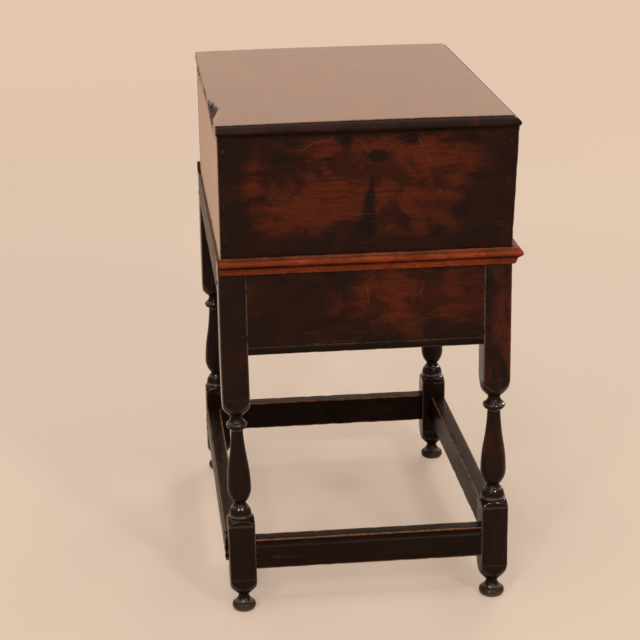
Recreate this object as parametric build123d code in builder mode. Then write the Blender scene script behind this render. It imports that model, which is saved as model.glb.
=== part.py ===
from build123d import *
import os

# Oak bible box on a joined and turned stand, of the later seventeenth century kind.
# X runs across the front (left is -X), Y from the front to the back, Z up.
# The origin is on the floor, at the middle of the whole footprint. Lengths are in millimetres.
# The stand is a frame of four turned legs, tenoned rails and stretchers, with a planted moulding
# whose lip stands above the frame, so that the separate box drops inside it.

os.makedirs("parts", exist_ok=True)

# ---------------------------------------------------------------- stand: driving dimensions
stand_width = 644.0             # over the outer faces of the legs
stand_depth = 450.0
frame_top = 576.0               # top edges of legs and rails, where the box stands
leg_section = 43.0
turning_allowance = 1.0         # what the lathe takes off the square at its widest turnings

apron_height = 144.0            # front and both ends
back_rail_height = 56.0
apron_thickness = 22.0
face_setback = 0.6              # rails and stretchers stand this far behind the legs' faces
apron_hollow_height = 13.0      # run along the bottom edge of each apron
apron_hollow_depth = 5.0
apron_hollow_step = 1.0         # square step at its top
apron_hollow_middle = (1.9, 6.6)        # inside the face, and above the bottom edge
apron_hollow_fillet = 3.0

stretcher_bottom = 76.5
stretcher_height = 50.5
stretcher_thickness = 25.0
flute_from_top = 8.6            # centre line of the flute below the top edge
flute_width = 10.4
flute_depth = 2.6

tenon_length = 24.0
tenon_thickness = 9.0
apron_top_shoulder = 22.0       # wood left above an apron's tenon
rail_top_shoulder = 14.0        # the same above the narrow back rail's tenon
bottom_shoulder = 8.0
stretcher_shoulder = 7.0
mortise_clearance = 0.1

peg_radius = 3.5
peg_clearance = 0.05
peg_length = 26.0
peg_proud = 0.5
peg_inset = 8.0                 # from the shoulder into the leg
apron_peg_drops = (39.0, 115.0) # below the frame's top
rail_peg_drop = 34.0
stretcher_peg_drop = 33.0       # middle of the pair, below the stretcher's top
stretcher_peg_pitch = 14.0

# Waist moulding, planted on the outer faces of legs and aprons.
moulding_projection = 14.5
moulding_height = 26.5
moulding_lip = 13.0             # what stands above the frame's top
moulding_ledge = 7.5            # flat top of the lip
moulding_slope = (0.8, 2.2)     # top of the slope: outside the ledge, and below it
moulding_slope_foot = (2.4, 3.7)        # inside the nose, and below the ledge
moulding_nose_drop = 7.5        # widest level of the nose, below the ledge
moulding_nose_foot = (2.3, 12.0)        # inside the nose, and below the ledge
moulding_neck = 7.2             # projection under the nose, where the hollow begins
moulding_undercut = 3.6         # from the nose down to the neck
moulding_hollow = (5.3, 4.8)    # projection at the hollow's foot, and its height
moulding_foot = 3.5             # projection at the bottom edge
moulding_nail_height = 6.4      # in the hollow, above the bottom edge
moulding_nail_sink = 5.8        # projection of the nails' outer ends

# ---------------------------------------------------------------- legs: turned levels
corner_relief = 0.6             # how far the outline runs outside the square's corners
foot_pad_radius = 16.5
foot_widest = 5.5
foot_bun_end = (16.0, 14.5)
foot_fillet_radius = 14.2
foot_fillet_bottom = 15.5
foot_fillet_top = 16.8
foot_scotia = (10.6, 20.8)
foot_neck_level = 26.5
foot_neck_radius = 9.2
low_tongue_start = 27.5
low_tongue_end = 58.0           # corners of the lower block are whole above this
low_tongue_middle = (18.5, 36.8)

pommel_corner = 158.5           # corners of the lower block are whole below this
pommel_middle = (25.6, 164.6)
pommel_top = 168.4
pommel_radius = 19.4
quirk_radius = 18.2
band_radius = 20.2
band_base = 170.0
band_edge = 170.7
band_top = 172.4
cushion_radius = 19.2
cushion_middle = (16.6, 182.6)
low_neck_level = 191.0
low_neck_radius = 10.5
vase_start = 193.5
vase_middle = (18.4, 206.5)
vase_widest = 217.5
vase_shoulder = (18.4, 249.0)
vase_waist = (13.1, 283.0)
high_neck_level = 319.0
high_neck_radius = 10.4
ring_fillet_radius = 12.0
ring_fillet_bottom = 320.0
ring_bottom = 321.2
ring_swell = (15.9, 322.8)
ring_edge_low = 325.0
ring_widest = 328.0
ring_edge_high = 330.3
ring_radius = 18.0
ring_edge_radius = 17.0
ring_step_radius = 15.4
ring_step_top = 331.3
ring_cove_middle = (11.6, 335.0)
top_neck_level = 340.5
top_neck_radius = 9.8
top_tongue_start = 342.5
top_tongue_middle = (19.8, 352.5)
top_tongue_end = 374.0

# Hand turning: (drop of the vase, drop of the collar, slimness) of each leg.
leg_turnings = {
    "front_left": (0.0, 0.0, 1.0),
    "front_right": (2.5, 2.0, 0.98),
    "back_left": (8.0, 12.0, 0.92),
    "back_right": (0.5, 1.0, 0.97),
}

# ---------------------------------------------------------------- box: driving dimensions
box_clearance = 0.5             # between the box and the lip, at the front and both ends
box_back_inset = 5.0            # the box's back stands this far inside the stand's back
box_height = 200.0              # without the lid
end_thickness = 18.0
front_thickness = 18.0          # at the bottom edge
box_front_lean = 8.5            # the riven front board leans out this much above the lip
back_thickness = 16.0
bottom_thickness = 12.0
rebate_depth = 9.0              # in the end boards, for the front's and back's ends
joint_clearance = 0.1

lid_thickness = 14.5
lid_gap = 0.4
lid_end_overhang = 7.5
lid_front_overhang = 2.0
lid_back_overhang = 2.0
lid_edge_width = 11.3           # moulded edge along the front and both ends
lid_step = 2.0                  # low fillet round the top of the moulded edge
lid_step_foot = 10.2            # in from the edge
lid_thumb_shoulder = (4.4, 4.6)         # in from the edge, and below the top
lid_thumb_tip = 10.0            # widest level, below the top
lid_thumb_under = 2.4           # how far the underside stops inside the edge
chip_deepest = -188.0           # broken out of the lid's back edge, near the left hinge
chip_reach_left = 75.0
chip_reach_right = 69.0
chip_width = 14.0
chip_depth = 7.0

nail_radius = 1.2
nail_clearance = 0.05
corner_nail_length = 34.0
corner_nail_heights = (40.0, 91.0, 119.0, 176.0)
head_radius = 3.0
head_flat = 1.4                 # radius of the flat on top of a head
head_height = 0.9
bottom_nail_length = 32.0
flush_head_radius = 2.4
flush_head_depth = 1.0
front_nail_pitch = 140.0
end_nail_pitch = 150.0
moulding_nail_pitch = 145.0
moulding_nail_length = 24.0

# Iron hinges: a leaf let into the back's top edge, a leaf under the lid, and a pin.
hinge_from_end = 121.0          # from the end of the box to the middle of a hinge
leaf_length = 60.0
leaf_thickness = 1.8
box_leaf_width = 11.5
lid_leaf_width = 26.0
lid_leaf_nail_inset = 13.4      # from the leaf's back edge
barrel_proud = 0.6              # from the box's back out to the middle of the barrels
knuckle_radius = 2.5
knuckle_gap = 0.3               # between knuckle and wood, and between knuckles
web_lap = 1.0                   # how far a knuckle's web laps on its leaf
pin_radius = 1.2
pin_clearance = 0.05
pin_overhang = 1.5
leaf_nail_pitch = 20.0
leaf_nail_length = 12.0

# Iron lock on the inside of the front, its bolt and the staple under the lid.
lock_plate_length = 98.0
lock_plate_height = 62.0
lock_plate_thickness = 1.5
lock_case_length = 80.0
lock_case_height = 50.0
lock_case_depth = 13.0
lock_wall = 1.5
lock_top_drop = 1.0             # top of the plate below the board's top edge
bolt_section = 5.0
bolt_length = 43.0
bolt_start = -37.0              # its tail at rest, from the lock's middle
bolt_travel = 14.0
bolt_drop = 12.0                # its centre line below the box's top
bolt_clearance = 0.15
bolt_notch = 4.0                # where the key turns it
bolt_notch_depth = 2.2
guide_places = (-19.0, 3.0)
guide_thickness = 2.0
spring_thickness = 0.8          # flat spring that bears on the bolt
spring_width = 4.0
spring_start = -16.0            # its fixed end, from the lock's middle
spring_foot = 5.0               # length held against the case
spring_reach = 16.0
spring_gap = 0.1                # over the bolt
staple_place = 12.0             # middle of the staple's tongue, from the lock's middle
staple_thickness = 4.0
staple_width = 8.4
staple_length = 17.0
staple_eye = 6.0
staple_plate_length = 36.0
staple_plate_thickness = 1.8
staple_slot_clearance = 0.8
staple_nail_pitch = 26.0
key_drop = 33.0                 # centre of the keyhole below the box's top
key_radius = 3.3
key_slot_width = 4.8
key_slot_length = 12.0
escutcheon_width = 34.0
escutcheon_height = 48.0
escutcheon_thickness = 1.2
escutcheon_notch = 6.0
small_nail_radius = 0.9
small_nail_length = 9.0
small_head_radius = 1.8
small_head_flat = 0.8
small_head_height = 0.6
lock_nail_inset = 4.5

# ---------------------------------------------------------------- derived places
stand_back = (stand_depth + moulding_projection) / 2
stand_front = stand_back - stand_depth
half_width = stand_width / 2
half_leg = leg_section / 2
leg_corner = half_leg * 2 ** 0.5 + corner_relief
turned_radius = half_leg - turning_allowance
apron_bottom = frame_top - apron_height
back_rail_bottom = frame_top - back_rail_height
stretcher_top = stretcher_bottom + stretcher_height
moulding_bottom = frame_top + moulding_lip - moulding_height

box_end = half_width - box_clearance
box_front = stand_front + box_clearance
box_back = stand_back - box_back_inset
box_top = frame_top + box_height
lean_start = frame_top + moulding_lip
lid_bottom = box_top + lid_gap
lid_top = lid_bottom + lid_thickness
lid_end = box_end + lid_end_overhang
lid_front = box_front - box_front_lean - lid_front_overhang
lid_back = box_back + lid_back_overhang
front_inside = box_front + front_thickness
back_inside = box_back - back_thickness
end_inside = box_end - end_thickness
panel_end = box_end - end_thickness + rebate_depth - joint_clearance

hinge_offset = box_end - hinge_from_end
hinge_y = box_back + barrel_proud
leaf_back = hinge_y - knuckle_radius - knuckle_gap
hinge_z = box_top + lid_gap / 2
lock_inner_depth = lock_case_depth - lock_plate_thickness - lock_wall
lock_y = front_inside + lock_plate_thickness + lock_inner_depth / 2
bolt_z = box_top - bolt_drop
key_z = box_top - key_drop

# A rotation that points a local Z outwards from each side of the object.
outward = {"front": (90, 0, 0), "back": (-90, 0, 0), "left": (0, -90, 0), "right": (0, 90, 0)}
INWARDS = (Align.CENTER, Align.CENTER, Align.MAX)
OUTWARDS = (Align.CENTER, Align.CENTER, Align.MIN)

# Each side of the stand as a plane: local X along the side, local Y inwards, local Z up.
middle_y = (stand_front + stand_back) / 2
sides = {
    "front": Plane(origin=(0, stand_front, 0), x_dir=(1, 0, 0), z_dir=(0, 0, 1)),
    "back": Plane(origin=(0, stand_back, 0), x_dir=(-1, 0, 0), z_dir=(0, 0, 1)),
    "left": Plane(origin=(-half_width, middle_y, 0), x_dir=(0, -1, 0), z_dir=(0, 0, 1)),
    "right": Plane(origin=(half_width, middle_y, 0), x_dir=(0, 1, 0), z_dir=(0, 0, 1)),
}
side_lengths = {"front": stand_width, "back": stand_width, "left": stand_depth, "right": stand_depth}


def section_plane(side, distance):
    """Plane across a side: its X points inwards, its Y up, its normal along the side."""
    plane = sides[side]
    start = plane.from_local_coords((distance, 0, 0))
    return Plane(origin=start, x_dir=plane.y_dir, z_dir=plane.x_dir)


def on_side(side, along, inwards, height):
    """Location in a side's own directions."""
    return sides[side].location * Location((along, inwards, height))


def tenon_places(side, thickness, bottom, top, shoulder_low, shoulder_high):
    """Centres of a rail's two tenons, and the tenon's height."""
    reach = side_lengths[side] / 2 - leg_section + tenon_length / 2
    height = top - bottom - shoulder_low - shoulder_high
    centre = bottom + shoulder_low + height / 2
    inwards = face_setback + thickness / 2
    return [on_side(side, end * reach, inwards, centre) for end in (-1, 1)], height


def peg_places(side, heights):
    """Places on the legs' outer faces where a side's pegs enter, pointing outwards."""
    reach = side_lengths[side] / 2 - leg_section + peg_inset
    plane = sides[side]
    places = []
    for height in heights:
        for end in (-1, 1):
            point = plane.from_local_coords((end * reach, 0, height))
            places.append(Location(tuple(point), outward[side]))
    return places


# Every rail: (thickness, bottom, top, lower shoulder, upper shoulder, heights of its pegs).
apron_pegs_at = [frame_top - drop for drop in apron_peg_drops]
apron_data = (apron_thickness, apron_bottom, frame_top, bottom_shoulder, apron_top_shoulder, apron_pegs_at)
rail_data = (apron_thickness, back_rail_bottom, frame_top, bottom_shoulder, rail_top_shoulder,
             [frame_top - rail_peg_drop])
stretcher_middle = stretcher_top - stretcher_peg_drop
stretcher_pegs_at = [stretcher_middle + half * stretcher_peg_pitch / 2 for half in (-1, 1)]
stretcher_data = (stretcher_thickness, stretcher_bottom, stretcher_top, stretcher_shoulder,
                  stretcher_shoulder, stretcher_pegs_at)
upper_rails = {"front": apron_data, "left": apron_data, "right": apron_data, "back": rail_data}
lower_rails = {side: stretcher_data for side in sides}


# ---------------------------------------------------------------- nails and where they go
def row_of(count_span, pitch):
    """Evenly pitched places, centred, that stay inside a span."""
    count = max(2, int(count_span // pitch))
    return [(index - (count - 1) / 2) * pitch for index in range(count)]


def moulding_nail_places(side):
    """Nails of one length of moulding: a row in the apron and one in each leg, pointing outwards."""
    plane = sides[side]
    in_leg = side_lengths[side] / 2 - half_leg
    span = side_lengths[side] - 2 * leg_section
    height = moulding_bottom + moulding_nail_height
    places = []
    for along in (-in_leg, *row_of(span, moulding_nail_pitch), in_leg):
        point = plane.from_local_coords((along, -moulding_nail_sink, height))
        places.append(Location(tuple(point), outward[side]))
    return places


def front_face(along, height):
    """Plane on the box's leaning front face, its normal outwards."""
    lean_height = box_top - lean_start
    lean = box_front_lean * (height - lean_start) / lean_height
    return Plane(origin=(along, box_front - lean, height), x_dir=(1, 0, 0),
                 z_dir=(0, -lean_height, -box_front_lean))


corner_nails = []
for side, reach in (("left", -box_end), ("right", box_end)):
    for height in corner_nail_heights:
        nail_z = frame_top + height
        in_front = (front_face(0, nail_z).origin.Y + front_inside) / 2
        for depth in (in_front, box_back - back_thickness / 2):
            corner_nails.append(Location((reach, depth, nail_z), outward[side]))

bottom_nail_z = frame_top + bottom_thickness / 2
bottom_nails = []
for along in row_of(2 * end_inside, front_nail_pitch):
    bottom_nails.append(Location((along, box_front, bottom_nail_z), outward["front"]))
    bottom_nails.append(Location((along, box_back, bottom_nail_z), outward["back"]))
for along in row_of(back_inside - front_inside, end_nail_pitch):
    depth = (front_inside + back_inside) / 2 + along
    bottom_nails.append(Location((-box_end, depth, bottom_nail_z), outward["left"]))
    bottom_nails.append(Location((box_end, depth, bottom_nail_z), outward["right"]))

box_leaf_nails = []
lid_leaf_nails = []
for side_x in (-hinge_offset, hinge_offset):
    for step in (-1, 0, 1):
        nail_x = side_x + step * leaf_nail_pitch
        box_leaf_nails.append(Location((nail_x, leaf_back - box_leaf_width / 2, box_top)))
        lid_leaf_nails.append(Location((nail_x, leaf_back - lid_leaf_nail_inset, lid_bottom), (180, 0, 0)))

staple_nails = [Location((staple_place + end * staple_nail_pitch / 2, lock_y, lid_bottom), (180, 0, 0))
                for end in (-1, 1)]
lock_nail_x = lock_plate_length / 2 - lock_nail_inset
lock_plate_top = box_top - lock_top_drop
lock_plate_middle = lock_plate_top - lock_plate_height / 2
lock_nails = [Location((end * lock_nail_x, front_inside + lock_plate_thickness,
                        lock_plate_middle + up * (lock_plate_height / 2 - lock_nail_inset)), outward["back"])
              for end in (-1, 1) for up in (-1, 1)]
escutcheon_nail_rise = escutcheon_height / 2 - lock_nail_inset
escutcheon_nails = [front_face(0, key_z + up * escutcheon_nail_rise).offset(escutcheon_thickness).location
                    for up in (-1, 1)]


def nail_holes(places, radius, length):
    """Cut holes that clear a row of nails."""
    with Locations(*places):
        Cylinder(radius + nail_clearance, length + nail_clearance, align=INWARDS, mode=Mode.SUBTRACT)


def flush_holes(places, length):
    """Cut holes and head recesses for flush nails."""
    nail_holes(places, nail_radius, length)
    with Locations(*places):
        Cylinder(flush_head_radius + nail_clearance, flush_head_depth, align=INWARDS, mode=Mode.SUBTRACT)


def flush_nails(places, length):
    """Nails whose heads finish level with the surface."""
    with Locations(*places):
        Cylinder(nail_radius, length, align=INWARDS)
        Cylinder(flush_head_radius, flush_head_depth, align=INWARDS)


def proud_nails(places, radius, length, head, flat, height):
    """Nails with a low coned head standing on the surface."""
    with Locations(*places):
        Cylinder(radius, length, align=INWARDS)
        Cone(head, flat, height, align=OUTWARDS)


# ---------------------------------------------------------------- legs
def leg_outline(drop, collar_drop, slim):
    """Half section of a leg, from the pad of its foot to the top of its square block."""

    def foot(radius, level):
        """A point of the foot, whose levels are the same on every leg."""
        return (radius * slim, level)

    def turned(radius, level):
        """A point of the vase and of the cushion under it."""
        return (radius * slim, level - drop)

    def collar(radius, level):
        """A point of the ring collar and of the neck over it."""
        return (radius * slim, level - collar_drop)

    with BuildSketch(Plane.XZ) as outline:
        with BuildLine():
            Line((0, 0), foot(foot_pad_radius, 0))
            ThreePointArc(foot(foot_pad_radius, 0), foot(turned_radius, foot_widest), foot(*foot_bun_end))
            Polyline(foot(*foot_bun_end), foot(foot_fillet_radius, foot_fillet_bottom),
                     foot(foot_fillet_radius, foot_fillet_top))
            ThreePointArc(foot(foot_fillet_radius, foot_fillet_top), foot(*foot_scotia),
                          foot(foot_neck_radius, foot_neck_level))
            Line(foot(foot_neck_radius, foot_neck_level), foot(foot_neck_radius, low_tongue_start))
            ThreePointArc(foot(foot_neck_radius, low_tongue_start), low_tongue_middle,
                          (leg_corner, low_tongue_end))
            Line((leg_corner, low_tongue_end), (leg_corner, pommel_corner - drop))
            ThreePointArc((leg_corner, pommel_corner - drop), (pommel_middle[0], pommel_middle[1] - drop),
                          (pommel_radius, pommel_top - drop))
            Polyline((pommel_radius, pommel_top - drop), turned(quirk_radius, pommel_top),
                     turned(quirk_radius, band_base), turned(band_radius, band_edge),
                     turned(band_radius, band_top), turned(cushion_radius, band_top))
            ThreePointArc(turned(cushion_radius, band_top), turned(*cushion_middle),
                          turned(low_neck_radius, low_neck_level))
            Line(turned(low_neck_radius, low_neck_level), turned(low_neck_radius, vase_start))
            ThreePointArc(turned(low_neck_radius, vase_start), turned(*vase_middle),
                          turned(turned_radius, vase_widest))
            Spline(turned(turned_radius, vase_widest), turned(*vase_shoulder), turned(*vase_waist),
                   collar(high_neck_radius, high_neck_level), tangents=[(0, 1), (0, 1)])
            Polyline(collar(high_neck_radius, high_neck_level),
                     collar(ring_fillet_radius, ring_fillet_bottom),
                     collar(ring_fillet_radius, ring_bottom))
            ThreePointArc(collar(ring_fillet_radius, ring_bottom), collar(*ring_swell),
                          collar(ring_edge_radius, ring_edge_low))
            ThreePointArc(collar(ring_edge_radius, ring_edge_low), collar(ring_radius, ring_widest),
                          collar(ring_edge_radius, ring_edge_high))
            Polyline(collar(ring_edge_radius, ring_edge_high), collar(ring_step_radius, ring_edge_high),
                     collar(ring_step_radius, ring_step_top))
            ThreePointArc(collar(ring_step_radius, ring_step_top), collar(*ring_cove_middle),
                          collar(top_neck_radius, top_neck_level))
            Line(collar(top_neck_radius, top_neck_level), collar(top_neck_radius, top_tongue_start))
            ThreePointArc(collar(top_neck_radius, top_tongue_start),
                          (top_tongue_middle[0], top_tongue_middle[1] - collar_drop),
                          (leg_corner, top_tongue_end - collar_drop))
            Polyline((leg_corner, top_tongue_end - collar_drop), (leg_corner, frame_top), (0, frame_top),
                     (0, 0))
        make_face()
    return outline.sketch


leg_sides = {
    "front_left": ("front", "left"),
    "front_right": ("front", "right"),
    "back_left": ("back", "left"),
    "back_right": ("back", "right"),
}

for corner, (drop, collar_drop, slim) in leg_turnings.items():
    front_or_back, end = leg_sides[corner]
    leg_x = half_width - half_leg
    leg_x = -leg_x if end == "left" else leg_x
    leg_y = stand_front + half_leg if front_or_back == "front" else stand_back - half_leg
    with BuildPart(Plane(origin=(leg_x, leg_y, 0))) as leg:
        revolve(leg_outline(drop, collar_drop, slim).moved(Location((leg_x, leg_y, 0))),
                Axis((leg_x, leg_y, 0), (0, 0, 1)))
        Box(leg_section, leg_section, frame_top, align=OUTWARDS, mode=Mode.INTERSECT)
    with BuildPart() as jointed_leg:
        add(leg.part)
        for side in (front_or_back, end):
            for rails in (upper_rails, lower_rails):
                thickness, bottom, top, low, high, heights = rails[side]
                places, height = tenon_places(side, thickness, bottom, top, low, high)
                with Locations(*places):
                    Box(tenon_length + 2 * mortise_clearance, tenon_thickness + 2 * mortise_clearance,
                        height + 2 * mortise_clearance, mode=Mode.SUBTRACT)
                with Locations(*peg_places(side, heights)):
                    Cylinder(peg_radius + peg_clearance, 2 * (peg_length + peg_clearance),
                             mode=Mode.SUBTRACT)
        if front_or_back == "front":
            nail_holes(moulding_nail_places("front"), nail_radius, moulding_nail_length)
        nail_holes(moulding_nail_places(end), nail_radius, moulding_nail_length)
    jointed_leg.part.label = f"leg_{corner}"
    export_step(jointed_leg.part, f"parts/leg_{corner}.step")


# ---------------------------------------------------------------- rails and stretchers
def apron_section(plane):
    """Section of an apron: a hollow with a small fillet is run along its outer bottom edge."""
    outer = face_setback
    inner = face_setback + apron_thickness
    hollow_top = apron_bottom + apron_hollow_height
    fillet_top = apron_bottom + apron_hollow_fillet
    deep = outer + apron_hollow_depth
    with BuildSketch(plane) as section:
        with BuildLine():
            Polyline((deep, fillet_top), (deep, apron_bottom), (inner, apron_bottom), (inner, frame_top),
                     (outer, frame_top), (outer, hollow_top), (outer + apron_hollow_step, hollow_top))
            ThreePointArc((outer + apron_hollow_step, hollow_top),
                          (outer + apron_hollow_middle[0], apron_bottom + apron_hollow_middle[1]),
                          (deep, fillet_top))
        make_face()
    return section.sketch


def stretcher_section(plane):
    """Section of a stretcher: a shallow flute is run near the top of its outer face."""
    outer = face_setback
    inner = face_setback + stretcher_thickness
    flute_middle = stretcher_top - flute_from_top
    flute_high = flute_middle + flute_width / 2
    flute_low = flute_middle - flute_width / 2
    with BuildSketch(plane) as section:
        with BuildLine():
            Polyline((outer, flute_low), (outer, stretcher_bottom), (inner, stretcher_bottom),
                     (inner, stretcher_top), (outer, stretcher_top), (outer, flute_high))
            ThreePointArc((outer, flute_high), (outer + flute_depth, flute_middle), (outer, flute_low))
        make_face()
    return section.sketch


def plain_section(plane):
    """Plain square section of the back rail."""
    inner = face_setback + apron_thickness
    with BuildSketch(plane) as section:
        with BuildLine():
            Polyline((face_setback, back_rail_bottom), (inner, back_rail_bottom), (inner, frame_top),
                     (face_setback, frame_top), close=True)
        make_face()
    return section.sketch


def tenons_and_peg_holes(side, data):
    """Add a rail's tenons and bore them for its pegs."""
    thickness, bottom, top, low, high, heights = data
    places, height = tenon_places(side, thickness, bottom, top, low, high)
    with Locations(*places):
        Box(tenon_length, tenon_thickness, height)
    with Locations(*peg_places(side, heights)):
        Cylinder(peg_radius + peg_clearance, 2 * (peg_length + peg_clearance), mode=Mode.SUBTRACT)


rail_names = {"front": "apron_front", "left": "apron_left", "right": "apron_right", "back": "rail_back"}
for side, name in rail_names.items():
    clear_length = side_lengths[side] - 2 * leg_section
    section = plain_section if side == "back" else apron_section
    with BuildPart() as rail:
        extrude(section(section_plane(side, -clear_length / 2)), amount=clear_length)
        tenons_and_peg_holes(side, upper_rails[side])
        if side != "back":
            nail_holes(moulding_nail_places(side), nail_radius, moulding_nail_length)
    rail.part.label = name
    export_step(rail.part, f"parts/{name}.step")

for side in sides:
    clear_length = side_lengths[side] - 2 * leg_section
    with BuildPart() as stretcher:
        extrude(stretcher_section(section_plane(side, -clear_length / 2)), amount=clear_length)
        tenons_and_peg_holes(side, stretcher_data)
    stretcher.part.label = f"stretcher_{side}"
    export_step(stretcher.part, f"parts/stretcher_{side}.step")


def oak_pegs(rails):
    """The round pegs that hold one set of rails, a little proud of the legs."""
    for side, data in rails.items():
        with Locations(*[place * Location((0, 0, peg_proud)) for place in peg_places(side, data[5])]):
            Cylinder(peg_radius, peg_length + peg_proud, align=INWARDS)


with BuildPart() as apron_pegs:
    oak_pegs(upper_rails)
apron_pegs.part.label = "apron_pegs"
export_step(apron_pegs.part, "parts/apron_pegs.step")

with BuildPart() as stretcher_pegs:
    oak_pegs(lower_rails)
stretcher_pegs.part.label = "stretcher_pegs"
export_step(stretcher_pegs.part, "parts/stretcher_pegs.step")


# ---------------------------------------------------------------- waist moulding
def moulding_section(plane):
    """Section of the moulding: foot, hollow, undercut, rounded nose, slope and flat ledge."""
    foot = moulding_bottom
    top = moulding_bottom + moulding_height
    nose = moulding_projection
    slope_foot = (moulding_slope_foot[0] - nose, top - moulding_slope_foot[1])
    nose_foot = (moulding_nose_foot[0] - nose, top - moulding_nose_foot[1])
    neck = (-moulding_neck, nose_foot[1] - moulding_undercut)
    hollow_foot = (-moulding_hollow[0], foot + moulding_hollow[1])
    with BuildSketch(plane) as section:
        with BuildLine():
            Polyline((0, top), (0, foot), (-moulding_foot, foot), hollow_foot, neck, nose_foot)
            ThreePointArc(nose_foot, (-nose, top - moulding_nose_drop), slope_foot)
            Polyline(slope_foot, (-moulding_ledge - moulding_slope[0], top - moulding_slope[1]),
                     (-moulding_ledge, top), (0, top))
        make_face()
    return section.sketch


def mitre(corner_x, corner_y, turn):
    """Plane through a corner of the stand; what lies behind it is kept."""
    return Plane(origin=(corner_x, corner_y, 0), x_dir=(0, 0, 1), z_dir=turn)


mitre_left = mitre(-half_width, stand_front, (-1, 1, 0))
mitre_right = mitre(half_width, stand_front, (1, 1, 0))

for side in ("front", "left", "right"):
    run = side_lengths[side] / 2
    # Each length runs past its mitred ends; the side lengths stop level with the stand's back.
    start = -run if side == "left" else -run - 2 * moulding_projection
    finish = run if side == "right" else run + 2 * moulding_projection
    with BuildPart() as moulding:
        extrude(moulding_section(section_plane(side, start)), amount=finish - start)
        if side == "front":
            split(bisect_by=mitre_left, keep=Keep.BOTTOM)
            split(bisect_by=mitre_right, keep=Keep.BOTTOM)
        elif side == "left":
            split(bisect_by=mitre_left, keep=Keep.TOP)
        else:
            split(bisect_by=mitre_right, keep=Keep.TOP)
        nail_holes(moulding_nail_places(side), nail_radius, moulding_nail_length)
    moulding.part.label = f"moulding_{side}"
    export_step(moulding.part, f"parts/moulding_{side}.step")

with BuildPart() as moulding_nails:
    for side in ("front", "left", "right"):
        with Locations(*moulding_nail_places(side)):
            Cylinder(nail_radius, moulding_nail_length, align=INWARDS)
moulding_nails.part.label = "moulding_nails"
export_step(moulding_nails.part, "parts/moulding_nails.step")


# ---------------------------------------------------------------- box boards
def keyhole(plane, depth):
    """Cut the keyhole from a plane with its origin at the eye: a round eye over a slot."""
    with BuildSketch(plane) as hole:
        Circle(key_radius)
        with Locations((0, -key_slot_length / 2)):
            Rectangle(key_slot_width, key_slot_length)
    extrude(hole.sketch, amount=-depth, mode=Mode.SUBTRACT)


def upright_at(depth):
    """Upright plane across the box with its origin in line with the key, its normal to the front."""
    return Plane(origin=(0, depth, key_z), x_dir=(1, 0, 0), z_dir=(0, -1, 0))


def board_section(start, corners):
    """Section of a board, seen from the left end and drawn as (depth, height) corners."""
    with BuildSketch(Plane(origin=(start, 0, 0), x_dir=(0, 1, 0), z_dir=(1, 0, 0))) as section:
        with BuildLine():
            Polyline(*corners, close=True)
        make_face()
    return section.sketch


box_front_top = box_front - box_front_lean

with BuildPart() as box_front_board:
    extrude(board_section(-panel_end, [(box_front, frame_top), (box_front, lean_start),
                                       (box_front_top, box_top), (front_inside, box_top),
                                       (front_inside, frame_top)]),
            amount=2 * panel_end)
    keyhole(upright_at(box_front_top), front_inside - box_front_top)
    nail_holes(corner_nails, nail_radius, corner_nail_length)
    flush_holes(bottom_nails, bottom_nail_length)
    nail_holes(lock_nails, small_nail_radius, small_nail_length)
    nail_holes(escutcheon_nails, small_nail_radius, small_nail_length)
box_front_board.part.label = "box_front"
export_step(box_front_board.part, "parts/box_front.step")

def barrel_notches():
    """Cut room for the barrels of both hinges into the board being built."""
    for middle_x in (-hinge_offset, hinge_offset):
        with Locations(Location((middle_x, hinge_y, hinge_z), (0, 90, 0))):
            Cylinder(knuckle_radius + knuckle_gap, leaf_length + 2 * (pin_overhang + knuckle_gap),
                     mode=Mode.SUBTRACT)


with BuildPart() as box_back_board:
    with Locations((0, box_back, frame_top)):
        Box(2 * panel_end, back_thickness, box_height, align=(Align.CENTER, Align.MAX, Align.MIN))
    with Locations((-hinge_offset, box_back, box_top), (hinge_offset, box_back, box_top)):
        Box(leaf_length + 2 * joint_clearance, box_back - leaf_back + box_leaf_width + joint_clearance,
            leaf_thickness, align=(Align.CENTER, Align.MAX, Align.MAX), mode=Mode.SUBTRACT)
    barrel_notches()
    nail_holes(corner_nails, nail_radius, corner_nail_length)
    flush_holes(bottom_nails, bottom_nail_length)
    nail_holes(box_leaf_nails, nail_radius, leaf_nail_length)
box_back_board.part.label = "box_back"
export_step(box_back_board.part, "parts/box_back.step")

for side, start in (("left", -box_end), ("right", end_inside)):
    with BuildPart() as end_board:
        extrude(board_section(start, [(box_front, frame_top), (box_front, lean_start),
                                      (box_front_top, box_top), (box_back, box_top),
                                      (box_back, frame_top)]),
                amount=end_thickness)
        rebate_middle = end_inside + rebate_depth / 2
        rebate_x = -rebate_middle if side == "left" else rebate_middle
        with Locations((rebate_x, box_front_top, frame_top)):
            Box(rebate_depth, front_inside - box_front_top + joint_clearance, box_height,
                align=(Align.CENTER, Align.MIN, Align.MIN), mode=Mode.SUBTRACT)
        with Locations((rebate_x, box_back, frame_top)):
            Box(rebate_depth, back_thickness + joint_clearance, box_height,
                align=(Align.CENTER, Align.MAX, Align.MIN), mode=Mode.SUBTRACT)
        nail_holes(corner_nails, nail_radius, corner_nail_length)
        flush_holes(bottom_nails, bottom_nail_length)
    end_board.part.label = f"box_{side}_end"
    export_step(end_board.part, f"parts/box_{side}_end.step")

with BuildPart() as box_bottom:
    inner_depth = back_inside - front_inside - 2 * joint_clearance
    with Locations((0, (front_inside + back_inside) / 2, frame_top)):
        Box(2 * (end_inside - joint_clearance), inner_depth, bottom_thickness,
            align=(Align.CENTER, Align.CENTER, Align.MIN))
    nail_holes(bottom_nails, nail_radius, bottom_nail_length)
box_bottom.part.label = "box_bottom"
export_step(box_bottom.part, "parts/box_bottom.step")

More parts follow.
